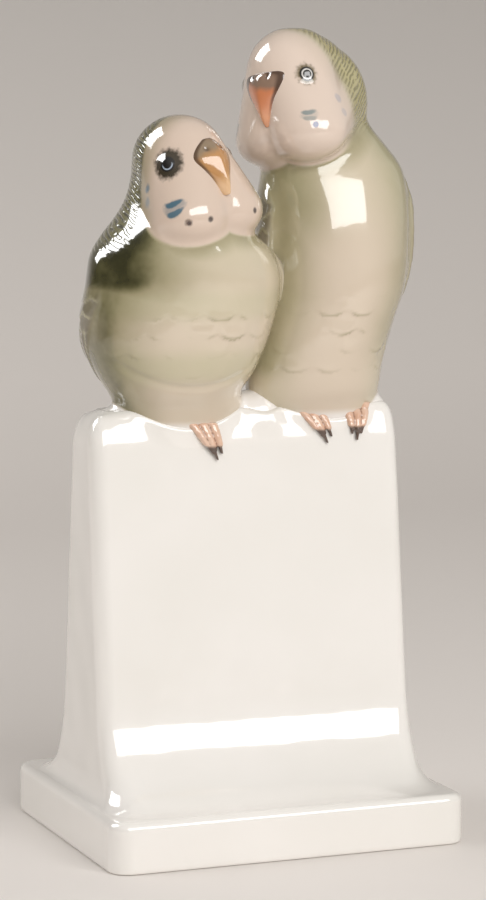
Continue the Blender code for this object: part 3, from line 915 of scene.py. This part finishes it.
def glaze(tree, colour, relief=None):
    """A clear glossy glaze over the colour: a sharp coat, very slightly uneven as fired glaze is."""
    place = add(tree, "TexCoord").outputs["Object"]
    swell = add(tree, "TexNoise", {"Vector": place, "Scale": 1 / (GLAZE_SWELLS * MM), "Detail": 1.0})
    skin = {"Height": swell, "Strength": GLAZE_SWELL_STRENGTH, "Distance": GLAZE_SWELL_HEIGHT * MM}
    inputs = {
        "Base Color": colour,
        "Roughness": PAINT_ROUGHNESS,
        "IOR": PORCELAIN_IOR,
        "Coat Weight": 1.0,
        "Coat Roughness": GLAZE_ROUGHNESS,
        "Coat IOR": GLAZE_IOR,
    }
    if relief:
        inputs["Normal"] = skin["Normal"] = relief
    inputs["Coat Normal"] = add(tree, "Bump", skin)
    add(tree, "OutputMaterial", {"Surface": add(tree, "BsdfPrincipled", inputs)})


def painted_porcelain(name, paint):
    material, tree = start_material(name)
    channels = {}
    for layer in ("wash", "plumage", "form"):
        stored = add(tree, "Attribute", attribute_name=layer).outputs["Color"]
        channels[layer] = add(tree, "SeparateColor", {"Color": stored}).outputs
    head = add(tree, "Attribute", attribute_name="head").outputs["Vector"]
    parts = add(tree, "SeparateXYZ", {0: head}).outputs
    beside = add(tree, "Math", {0: parts["X"]}, operation="ABSOLUTE")
    mirrored = add(tree, "CombineXYZ", {0: beside, 1: parts["Y"], 2: parts["Z"]})

    # Airbrushed grounds, uneven where the spray overlaps. The olive also holds the painted shade under
    # the bib and in the furrow between the birds.
    clouds = {"Vector": head, "Scale": 1 / CLOUD_SIZE, "Detail": 3.0, "Roughness": 0.6}
    cloud = add(tree, "TexNoise", clouds)
    drift = add(tree, "MapRange", {0: cloud, 1: 0.3, 2: 0.7, 3: 0.88, 4: 1.08})
    sage = add(tree, "Math", {0: channels["wash"]["Red"], 1: drift}, **SHARE)
    olive = add(tree, "Math", {0: channels["wash"]["Green"], 1: drift}, **SHARE)
    deep = add(tree, "MapRange", {0: olive, 1: 0.52, 2: 1.06}, **SOFT_RUN)

    # Wing and tail: grey quills with pale edges, and the edges of the belly's scallops
    quill = add(tree, "Math", {0: channels["plumage"]["Green"], 1: QUILL_STRENGTH}, **PRODUCT)
    edge = add(tree, "Math", {0: channels["plumage"]["Blue"], 1: EDGE_STRENGTH}, **SHARE)
    shade = add(tree, "Math", {0: channels["form"]["Green"], 1: BELLY_SHADE}, **SHARE)

    # Nape: rows of short brushed bars round the back of the head
    down = add(tree, "Math", {0: parts["Y"], 1: -0.55, 2: parts["Z"]}, **PRODUCT_SUM)
    waver = add(tree, "TexNoise", {"Vector": head, "Scale": 1 / WAVER_SIZE, "Detail": 1.0})
    bent = add(tree, "Math", {0: waver, 1: 2.2, 2: down}, **PRODUCT_SUM)
    phase = add(tree, "Math", {0: bent, 1: 2 * math.pi / BAR_PITCH}, **PRODUCT)
    wave = add(tree, "Math", {0: phase}, operation="SINE")
    broken = add(tree, "TexNoise", {"Vector": head, "Scale": 1 / BREAK_SIZE, "Detail": 1.0})
    bars = add(tree, "MapRange", {0: wave, 1: -0.35, 2: 0.75}, **SOFT_RUN)
    gaps = add(tree, "MapRange", {0: broken, 1: 0.30, 2: 0.50}, **SOFT_RUN)
    bars = add(tree, "Math", {0: bars, 1: gaps}, **PRODUCT)
    bars = add(tree, "Math", {0: bars, 1: channels["plumage"]["Red"]}, **PRODUCT)
    ground = add(tree, "Math", {0: channels["form"]["Blue"], 1: NAPE_STRENGTH}, **PRODUCT)
    inked = add(tree, "Math", {0: bars, 1: paint["bar_strength"]}, **SHARE)

    coats = [
        (channels["form"]["Red"], paint["face"]),
        (sage, SAGE),
        (olive, OLIVE),
        (deep, DARK_OLIVE),
        (quill, QUILL_GREY),
        (edge, FEATHER_EDGE),
        (shade, OLIVE),
        (ground, paint["nape"]),
        (inked, paint["bars"]),
    ]

    # Cheek: curved strokes that rise towards the beak, and spots on the bib
    offset = add(tree, "VectorMath", {0: mirrored, 1: paint["cheek_at"]}, operation="SUBTRACT")
    placed = add(tree, "SeparateXYZ", {0: offset}).outputs
    bow = add(tree, "Math", {0: placed["Y"], 1: STROKE_BOW, 2: STROKE_SLOPE}, **PRODUCT_SUM)
    lift = add(tree, "Math", {0: placed["Y"], 1: bow, 2: placed["Z"]}, **PRODUCT_SUM)
    wet = add(tree, "TexNoise", {"Vector": head, "Scale": 1 / WET_SIZE, "Detail": 2.0})
    for height, thickness, reach, strength in paint["strokes"]:
        far = add(tree, "Math", {0: lift, 1: height}, operation="SUBTRACT")
        away = 0.0
        for value, size in ((far, thickness), (placed["Y"], reach), (placed["X"], reach)):
            part = add(tree, "Math", {0: value, 1: size}, operation="DIVIDE")
            away = add(tree, "Math", {0: part, 1: part, 2: away}, **PRODUCT_SUM)
        ragged = add(tree, "Math", {0: wet, 1: 1.1, 2: away}, **PRODUCT_SUM)
        stroke = add(tree, "MapRange", {0: ragged, 1: 1.75, 2: 0.9, 4: strength}, **SOFT_RUN)
        coats.append((stroke, paint["cheek"]))
    for x, y, z, radius, tint, strength in paint["spots"]:
        side = mirrored if x > 0 else head
        far = add(tree, "VectorMath", {0: side, 1: (x, y, z)}, operation="DISTANCE").outputs["Value"]
        far = add(tree, "Math", {0: wet, 1: 0.7 * radius, 2: far}, **PRODUCT_SUM)
        spot = {0: far, 1: radius * 1.75, 2: radius * 1.05, 4: strength}
        coats.append((add(tree, "MapRange", spot, **SOFT_RUN), tint))

    # Eye: brushed lashes in a soft surround, a dark rim, a pale ring and a black pupil
    from_eye = add(tree, "VectorMath", {0: mirrored, 1: EYE_ON_SKIN}, operation="SUBTRACT")
    gaze = Vector((EYE_ON_SKIN[0] / HEAD_OVAL[0], EYE_ON_SKIN[1] / HEAD_OVAL[1], 0.0)).normalized()
    ahead = Vector((gaze.y, -gaze.x, 0.0))
    level = add(tree, "VectorMath", {0: from_eye, 1: ahead}, operation="DOT_PRODUCT").outputs["Value"]
    depth = add(tree, "VectorMath", {0: from_eye, 1: gaze}, operation="DOT_PRODUCT").outputs["Value"]
    rise = add(tree, "SeparateXYZ", {0: from_eye}).outputs["Z"]
    flat = add(tree, "CombineXYZ", {0: level, 1: rise})
    ring = add(tree, "VectorMath", {0: flat}, operation="LENGTH").outputs["Value"]
    round_eye = add(tree, "Math", {0: rise, 1: level}, operation="ARCTAN2")
    lash = add(tree, "Math", {0: round_eye, 1: LASHES}, **PRODUCT)
    lash = add(tree, "Math", {0: lash}, operation="SINE")
    ruffle = add(tree, "TexNoise", {"Vector": head, "Scale": 1.1, "Detail": 3.0})
    lash = add(tree, "Math", {0: lash, 1: 0.10, 2: ring}, **PRODUCT_SUM)
    lash = add(tree, "Math", {0: ruffle, 1: 1.7, 2: lash}, **PRODUCT_SUM)
    lid = {0: rise, 1: paint["ring_top"], 2: paint["ring_top"] - 1.0}
    lower_lid = add(tree, "MapRange", lid, **SOFT_RUN)
    near = add(tree, "MapRange", {0: depth, 1: -5.0, 2: -3.5})
    reach = paint["eye_surround_reach"] + 0.6
    for value, outer, inner, tint, where in (
        (lash, reach + 0.5, reach - 1.0, paint["eye_surround"], near),
        (ring, 1.85, 1.50, EYE_BLACK, near),
        (ring, 1.34, 1.20, paint["eye_ring"], lower_lid),
        (ring, 1.04, 0.90, EYE_BLACK, near),
    ):
        mark = add(tree, "MapRange", {0: value, 1: outer, 2: inner}, **SOFT_RUN)
        coats.append((add(tree, "Math", {0: mark, 1: where}, **PRODUCT), tint))

    # Bare white where the clay of the pedestal comes up round the seats
    coats.append((channels["wash"]["Blue"], BARE_PORCELAIN))
    grooves = {"Height": bars, "Strength": 0.6, "Distance": BAR_GROOVE * MM}
    glaze(tree, paint_on(tree, BREAST_CREAM, coats), add(tree, "Bump", grooves, invert=True))
    return material


for piece, paint in ((left_bird, LEFT_PAINT), (right_bird, RIGHT_PAINT)):
    piece.data.materials.append(painted_porcelain(piece.name + "_painted_glazed_porcelain", paint))
    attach(piece, "root")
    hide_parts(NODE)

# Beaks
# Modelled apart and luted on before firing: a hooked upper bill under a soft cere, with a sharp keel
# down its middle. Painted amber and horn under the glaze, with a dark line round the cere.

BEAK_STEPS = 5
BEAK_POINTS = 64
BEAK_CLOUD_SIZE = 2.5
LEAST_KEEL = 1.36
FINE_GRAIN = 0.2
BEAK_SMOOTHING = 16
NOSTRIL_AT = (2.2, -0.3)
NOSTRIL_FRONT = -10.5
NOSTRIL_RADIUS = 0.6
NOSTRIL_DEPTH = 0.4
NOSTRIL_PAINT_RADIUS = 0.5
RIM_RUN = (0.55, 0.2)
RIM_FOOT_RUN = (-10.0, -5.0)

# The upper corner is painted darkest on one side: towards 1, the bird's left, or -1, its right. The
# cere gives way to horn at a height above the middle of the head.
LEFT_HORN = {
    "cere": "#917C62",
    "dark": "#7A5430",
    "horn": "#BD8A52",
    "tip": "#E0B78A",
    "line": "#4F3520",
    "side": 0.8,
    "horn_from": 0.4,
}
RIGHT_HORN = {
    "cere": "#8C7260",
    "dark": "#472C19",
    "horn": "#CF8258",
    "tip": "#D9966C",
    "line": "#402614",
    "side": -0.8,
    "horn_from": -1.6,
}


def painted_beak(name, tints):
    material, tree = start_material(name)
    head = add(tree, "Attribute", attribute_name="head").outputs["Vector"]
    parts = add(tree, "SeparateXYZ", {0: head}).outputs
    rim = add(tree, "Attribute", attribute_name="rim").outputs["Fac"]
    cloud = add(tree, "TexNoise", {"Vector": head, "Scale": 1 / BEAK_CLOUD_SIZE, "Detail": 3.0})
    low = add(tree, "Math", {0: cloud, 1: 2.0, 2: parts["Z"]}, **PRODUCT_SUM)
    low = add(tree, "Math", {0: parts["X"], 1: -0.4 * tints["side"], 2: low}, **PRODUCT_SUM)
    corner = add(tree, "Math", {0: parts["X"], 1: tints["side"], 2: parts["Z"]}, **PRODUCT_SUM)
    start = tints["horn_from"]
    coats = (
        (add(tree, "MapRange", {0: low, 1: start + 1.0, 2: start - 1.0}, **SOFT_RUN), tints["horn"]),
        (add(tree, "MapRange", {0: corner, 1: 0.2, 2: 3.0, 4: 0.9}, **SOFT_RUN), tints["dark"]),
        (add(tree, "MapRange", {0: low, 1: -4.5, 2: -8.0}, **SOFT_RUN), tints["tip"]),
        (add(tree, "Math", {0: rim, 1: 0.85}, **PRODUCT), tints["line"]),
    )
    glaze(tree, paint_on(tree, tints["cere"], coats))
    return material


def make_beak(bird, face, tints):
    bm = bmesh.new()
    place = head_place(bird)
    rings = []
    for forward, height, half_width, half_thickness in smooth_rows(bird.beak, BEAK_STEPS):
        ring = []
        for i in range(BEAK_POINTS):
            angle = 2.0 * math.pi * (i + 0.5) / BEAK_POINTS
            bend = 2.0 / max(bird.beak_keel, LEAST_KEEL) if math.sin(angle) < 0 else 1.0
            x = half_width * math.copysign(abs(math.cos(angle)) ** bend, math.cos(angle))
            y = forward + half_thickness * math.copysign(abs(math.sin(angle)) ** bend, math.sin(angle))
            ring.append(place @ Vector((x, y, height)))
        rings.append(ring)
    loft(bm, rings[::-1])
    obj = soft_form(bird.name + "_beak", bm, FINE_GRAIN, BEAK_SMOOTHING)
    mesh = obj.data
    at = points_of(mesh)
    head = to_head(bird, at)
    aside, above = NOSTRIL_AT
    nostril = np.linalg.norm(np.column_stack((np.abs(head[:, 0]) - aside, head[:, 2] - above)), axis=1)
    nostril = np.where(head[:, 1] < NOSTRIL_FRONT, nostril, 9.0)
    at = at - points_of(mesh, "normal") * (NOSTRIL_DEPTH * hump(nostril, NOSTRIL_RADIUS))[:, None]
    depth = np.array([face.find_nearest(Vector(point))[3] for point in place_in_world(at)]) / MM
    rim = fade(depth, *RIM_RUN) * fade(head[:, 2], *RIM_FOOT_RUN)
    mesh.vertices.foreach_set("co", place_in_world(at).ravel())
    store(mesh, "rim", "FLOAT", np.maximum(rim, 0.8 * hump(nostril, NOSTRIL_PAINT_RADIUS)))
    store(mesh, "head", "FLOAT_VECTOR", head)
    mesh.update()
    mesh.materials.append(painted_beak(bird.name + "_beak_glazed_horn_colours", tints))
    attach(obj, "root")
    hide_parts(NODE)


depsgraph = bpy.context.evaluated_depsgraph_get()
make_beak(LEFT_BIRD, BVHTree.FromObject(left_bird, depsgraph), LEFT_HORN)
make_beak(RIGHT_BIRD, BVHTree.FromObject(right_bird, depsgraph), RIGHT_HORN)

# Toes
# Rolled of clay and pressed over the shaft's front edge, three to a foot, each with rings of scales and
# a claw. Painted flesh pink with dark claws, and brown painted shade in the grooves between the toes and
# round the scales.

TOE_RADIUS = 1.25
TOE_SPACING = 2.4
TOE_LENGTH = 6.0
CLAW_LENGTH = 2.4
SIDE_TOE_SHORTER = 1.4
TOE_PROUD = 0.8
TOE_SUNK = 1.0
TOE_CONVERGENCE = 0.55
TOE_TAPER = 0.66
TOE_STEPS = 30
TOE_SMOOTHING = 4
SCALE_PITCH = 1.3
SCALE_RELIEF = 0.03
LAST_SCALE = 0.72
CLAW_FROM = 0.74
CLAW_THICKNESS = 0.6
CLAW_MIDDLE = 0.87
STAIN_SIZE = 2.5
TOE_PINK = "#E3C0A8"
TOE_RUST = "#C98F6C"
GROOVE_SHADE_BROWN = "#7A4E34"
CLAW_GREY = "#574338"


def painted_toes():
    material, tree = start_material("toes_glazed_flesh_colours")
    claw = add(tree, "Attribute", attribute_name="claw").outputs["Fac"]
    groove_shade = add(tree, "Attribute", attribute_name="groove_shade").outputs["Fac"]
    place = add(tree, "TexCoord").outputs["Object"]
    cloud = add(tree, "TexNoise", {"Vector": place, "Scale": 1000 / STAIN_SIZE, "Detail": 2.0})
    coats = (
        (add(tree, "MapRange", {0: cloud, 1: 0.45, 2: 0.7, 4: 0.5}), TOE_RUST),
        # Brown painted shade in the grooves between the toes and scales
        (add(tree, "Math", {0: groove_shade, 1: 0.8}, **PRODUCT), GROOVE_SHADE_BROWN),
        (claw, CLAW_GREY),
    )
    glaze(tree, paint_on(tree, TOE_PINK, coats))
    return material


def make_toes():
    bm = bmesh.new()
    claws = []
    feet = LEFT_BIRD.toes + RIGHT_BIRD.toes
    for (foot_x, foot_top, slant), toe in [(foot, toe) for foot in feet for toe in (-1, 0, 1)]:
        rings = []
        length = TOE_LENGTH + CLAW_LENGTH - SIDE_TOE_SHORTER * abs(toe)
        for step in range(TOE_STEPS + 1):
            down = step / TOE_STEPS
            z = foot_top - length * down
            front = -pedestal_section(min(z, SHAFT_TOP - 0.3))[1]
            spread = toe * TOE_SPACING * (1.0 - TOE_CONVERGENCE * down)
            radius = TOE_RADIUS * (1.0 - TOE_TAPER * down**2)
            radius *= 1.0 + SCALE_RELIEF * math.cos(2 * math.pi * z / SCALE_PITCH) * (down < LAST_SCALE)
            if down > CLAW_FROM:
                radius *= CLAW_THICKNESS
            centre = (foot_x + spread + slant * down, front - TOE_PROUD, z)
            rings.append(ellipse(centre, radius, radius, radius + TOE_SUNK, 24))
        claws.append((foot_x + spread + slant * CLAW_MIDDLE, foot_top - length * CLAW_FROM))
        loft(bm, rings[::-1])
    obj = soft_form("toes", bm, FINE_GRAIN, TOE_SMOOTHING)
    mesh = obj.data
    at = points_of(mesh)
    claw = np.zeros(len(at))
    for across, top in claws:
        on_claw = fade(np.abs(at[:, 0] - across), 2.6, 1.2) * fade(at[:, 2], top + 0.3, top - 0.5)
        claw = np.maximum(claw, on_claw)

    # Painted shade goes in a groove: where the skin lies below the middle of the points next to it
    edges = np.empty(len(mesh.edges) * 2, dtype=int)
    mesh.edges.foreach_get("vertices", edges)
    first, second = edges[::2], edges[1::2]
    total = np.zeros_like(at)
    count = np.zeros(len(at))
    for a, b in ((first, second), (second, first)):
        np.add.at(total, a, at[b])
        np.add.at(count, a, 1)
    hollow = np.sum((total / count[:, None] - at) * points_of(mesh, "normal"), axis=1)
    mesh.vertices.foreach_set("co", place_in_world(at).ravel())
    store(mesh, "claw", "FLOAT", claw)
    store(mesh, "groove_shade", "FLOAT", fade(hollow, 0.0, 0.02))
    mesh.update()
    mesh.materials.append(painted_toes())
    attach(obj, "root")
    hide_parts(NODE)


make_toes()

# Pedestal
# The lower part of the same casting, left white under the clear glaze. Its top is drawn up a little
# where the birds sit, as wet clay is when they are luted on.

FILLET_REACH = 3.4
FILLET_RISE = 1.1
CAST_WAVE = 0.10
CAST_WAVE_SIZE = 17.0
GLAZE_WAVE = 0.05
GLAZE_WAVE_SIZE = 4.5
LONG_SIDE_STEPS = 120
SHORT_SIDE_STEPS = 24
CORNER_STEPS = 10
FILLET_FROM = 40.0
WAVES_FOOT_RUN = (12.0, 20.0)
WAVES_TOP_RUN = (97.0, 90.0)
POOL_SIZE = 30.0
PEDESTAL_WHITE = "#F1EDE8"
POOLED_GLAZE = "#E2DFD6"


def fine_ring(half_x, half_y, radius, z):
    """A rounded rectangle with evenly spread points."""
    radius = max(0.05, min(radius, half_x - 0.02, half_y - 0.02))
    corners = (
        (half_x - radius, half_y - radius, 0),
        (radius - half_x, half_y - radius, 90),
        (radius - half_x, radius - half_y, 180),
        (half_x - radius, radius - half_y, 270),
    )
    points = []
    for i, (x, y, start) in enumerate(corners):
        for step in range(CORNER_STEPS + 1):
            angle = math.radians(start + 90 // CORNER_STEPS * step)
            points.append((x + radius * math.cos(angle), y + radius * math.sin(angle), z))
        end_x, end_y, _ = corners[(i + 1) % 4]
        turned = math.radians(start + 90)
        from_x, from_y = x + radius * math.cos(turned), y + radius * math.sin(turned)
        to_x, to_y = end_x + radius * math.cos(turned), end_y + radius * math.sin(turned)
        count = LONG_SIDE_STEPS if i in (0, 2) else SHORT_SIDE_STEPS
        for step in range(1, count):
            t = step / count
            points.append((from_x + (to_x - from_x) * t, from_y + (to_y - from_y) * t, z))
    return points


def fine_heights():
    """Heights of the rings, closest where the outline turns most."""
    heights = [0.0, 0.2, 0.4, PLINTH_FOOT_ROUND]
    heights += list(np.linspace(PLINTH_FOOT_ROUND, PLINTH_HEIGHT - PLINTH_TOP_ROUND, 14)[1:])
    for step in range(1, 11):
        heights.append(PLINTH_HEIGHT - PLINTH_TOP_ROUND * (1.0 - math.sin(math.radians(9 * step))))
    for step in range(1, 46):
        heights.append(PLINTH_HEIGHT + FLARE_HEIGHT * (1.0 - math.cos(math.radians(2 * step))))
    foot = PLINTH_HEIGHT + FLARE_HEIGHT
    shoulder = SHAFT_TOP - SHOULDER_DROP
    heights += list(np.linspace(foot, shoulder, 70)[1:])
    for step in range(1, 31):
        heights.append(shoulder + SHOULDER_DROP * math.sin(math.radians(3 * step)))
    return sorted(heights)


def white_porcelain():
    material, tree = start_material("white_glazed_porcelain")
    place = add(tree, "TexCoord").outputs["Object"]
    cloud = add(tree, "TexNoise", {"Vector": place, "Scale": 1000 / POOL_SIZE, "Detail": 2.0})
    pooled = add(tree, "MapRange", {0: cloud, 1: 0.35, 2: 0.75, 4: 0.35})
    glaze(tree, paint_on(tree, PEDESTAL_WHITE, [(pooled, POOLED_GLAZE)]))
    return material


def make_pedestal():
    bm = bmesh.new()
    rings = []
    half_x, half_y, radius = pedestal_section(0.0)
    for part in (0.9, 0.6, 0.3):
        rings.insert(0, fine_ring(half_x - (1 - part) * half_y, half_y * part, radius * part, 0.0))
    rings += [fine_ring(*pedestal_section(z), z) for z in fine_heights()]
    half_x, half_y, radius = pedestal_section(SHAFT_TOP)
    for step in range(1, 9):
        part = 1.0 - step / 8.3
        rings.append(fine_ring(half_x - (1 - part) * half_y, half_y * part, radius * part, SHAFT_TOP))
    loft(bm, rings)
    bmesh.ops.recalc_face_normals(bm, faces=bm.faces)
    mesh = bpy.data.meshes.new("pedestal")
    bm.to_mesh(mesh)
    bm.free()
    mesh.shade_smooth()
    obj = show("pedestal", mesh)

    # The clay is drawn up where a bird is near, and the rest is slightly uneven
    at = points_of(mesh)
    outward = points_of(mesh, "normal")
    depsgraph = bpy.context.evaluated_depsgraph_get()
    skins = [BVHTree.FromObject(bird, depsgraph) for bird in (left_bird, right_bird)]
    gap = np.full(len(at), 99.0)
    for i in np.nonzero(at[:, 2] > FILLET_FROM)[0]:
        point = Vector(place_in_world(at[i]))
        gap[i] = min(skin.find_nearest(point)[3] for skin in skins) / MM
    lift = FILLET_RISE * np.clip(1.0 - gap / FILLET_REACH, 0.0, 1.0) ** 2
    waves = CAST_WAVE * wobble(at, CAST_WAVE_SIZE) + GLAZE_WAVE * wobble(at, GLAZE_WAVE_SIZE)
    waves *= fade(at[:, 2], *WAVES_FOOT_RUN) * fade(at[:, 2], *WAVES_TOP_RUN)
    at += outward * (lift + waves)[:, None]
    mesh.vertices.foreach_set("co", place_in_world(at).ravel())
    mesh.update()
    mesh.materials.append(white_porcelain())
    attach(obj, "root")
    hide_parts(NODE)


make_pedestal()

# Studio
# A pale table that sweeps up into a grey backdrop, a large window of light behind the left shoulder
# and a wide one to the front right. The light is at a plain level, so the colours stay as written.

FLOOR_COLOUR = "#E8E2DD"
WALL_COLOUR = "#B9B5B1"
PAPER_ROUGHNESS = 0.7
PAPER_HALF_WIDTH = 2600.0
PAPER_FRONT = -2600.0
PAPER_BEND_FROM = 500.0
PAPER_BEND = 500.0
PAPER_BEND_STEPS = 12
PAPER_TOP = 1500.0

# A window: degrees round from the front and up, distance, width, height, watts, and whether it lights
# the colours and shows in the glaze.
WINDOWS = (
    ("left_window", -124.0, 40.0, 1000.0, 500.0, 560.0, 9.0, False, True),
    ("left_wall", -105.0, 30.0, 1000.0, 700.0, 700.0, 3.4, True, False),
    ("front_window", 9.0, 28.0, 1100.0, 1000.0, 480.0, 7.6, True, True),
)
WINDOWS_FACE = (0.0, 0.0, 110.0)
WALL_FROM = (0.04, 0.36)
ROOM_BRIGHT = "#C2BFBB"
ROOM_DARK = "#5E5C58"
BRIGHT_SIDE = (0.75, -0.5, 0.45)

bm = bmesh.new()
profile = [(PAPER_FRONT, 0.0), (PAPER_BEND_FROM, 0.0)]
for step in range(1, PAPER_BEND_STEPS + 1):
    angle = math.radians(90 / PAPER_BEND_STEPS * step)
    profile.append((PAPER_BEND_FROM + PAPER_BEND * math.sin(angle), PAPER_BEND * (1.0 - math.cos(angle))))
profile.append((PAPER_BEND_FROM + PAPER_BEND, PAPER_TOP))
sides = (-PAPER_HALF_WIDTH, PAPER_HALF_WIDTH)
edge = [[bm.verts.new((x * MM, y * MM, z * MM)) for y, z in profile] for x in sides]
for i in range(len(profile) - 1):
    bm.faces.new((edge[0][i], edge[1][i], edge[1][i + 1], edge[0][i + 1]))
paper_mesh = bpy.data.meshes.new("sweep")
bm.to_mesh(paper_mesh)
bm.free()
paper_mesh.shade_smooth()
sweep = show("sweep", paper_mesh)
paper, tree = start_material("grey_paper")
place = add(tree, "SeparateXYZ", {0: add(tree, "TexCoord").outputs["Object"]}).outputs
rise = add(tree, "MapRange", {0: place["Z"], 1: WALL_FROM[0], 2: WALL_FROM[1]})
tint = paint_on(tree, FLOOR_COLOUR, [(rise, WALL_COLOUR)])
shader = add(tree, "BsdfPrincipled", {"Base Color": tint, "Roughness": PAPER_ROUGHNESS})
add(tree, "OutputMaterial", {"Surface": shader})
paper_mesh.materials.append(paper)

for name, azimuth, elevation, distance, width, height, power, on_colour, in_glaze in WINDOWS:
    lamp = show(name, bpy.data.lights.new(name, "AREA"))
    lamp.data.shape = "RECTANGLE"
    lamp.data.size = width * MM
    lamp.data.size_y = height * MM
    lamp.data.energy = power
    lamp.visible_diffuse = on_colour
    lamp.visible_glossy = in_glaze
    way = direction(azimuth, elevation)
    lamp.location = (Vector(WINDOWS_FACE) + way * distance) * MM
    lamp.rotation_euler = way.to_track_quat("Z", "Y").to_euler()

world = bpy.data.worlds.new("studio")
bpy.context.scene.world = world
world.use_nodes = True
room = world.node_tree
way = add(room, "TexCoord").outputs["Generated"]
towards = add(room, "VectorMath", {0: way, 1: BRIGHT_SIDE}, operation="DOT_PRODUCT").outputs["Value"]
bright = add(room, "MapRange", {0: towards, 1: -0.7, 2: 0.9}, **SOFT_RUN)
light = paint_on(room, ROOM_DARK, [(bright, ROOM_BRIGHT)])
room.links.new(light.outputs[2], room.nodes["Background"].inputs["Color"])
bpy.context.scene.view_settings.view_transform = "Standard"
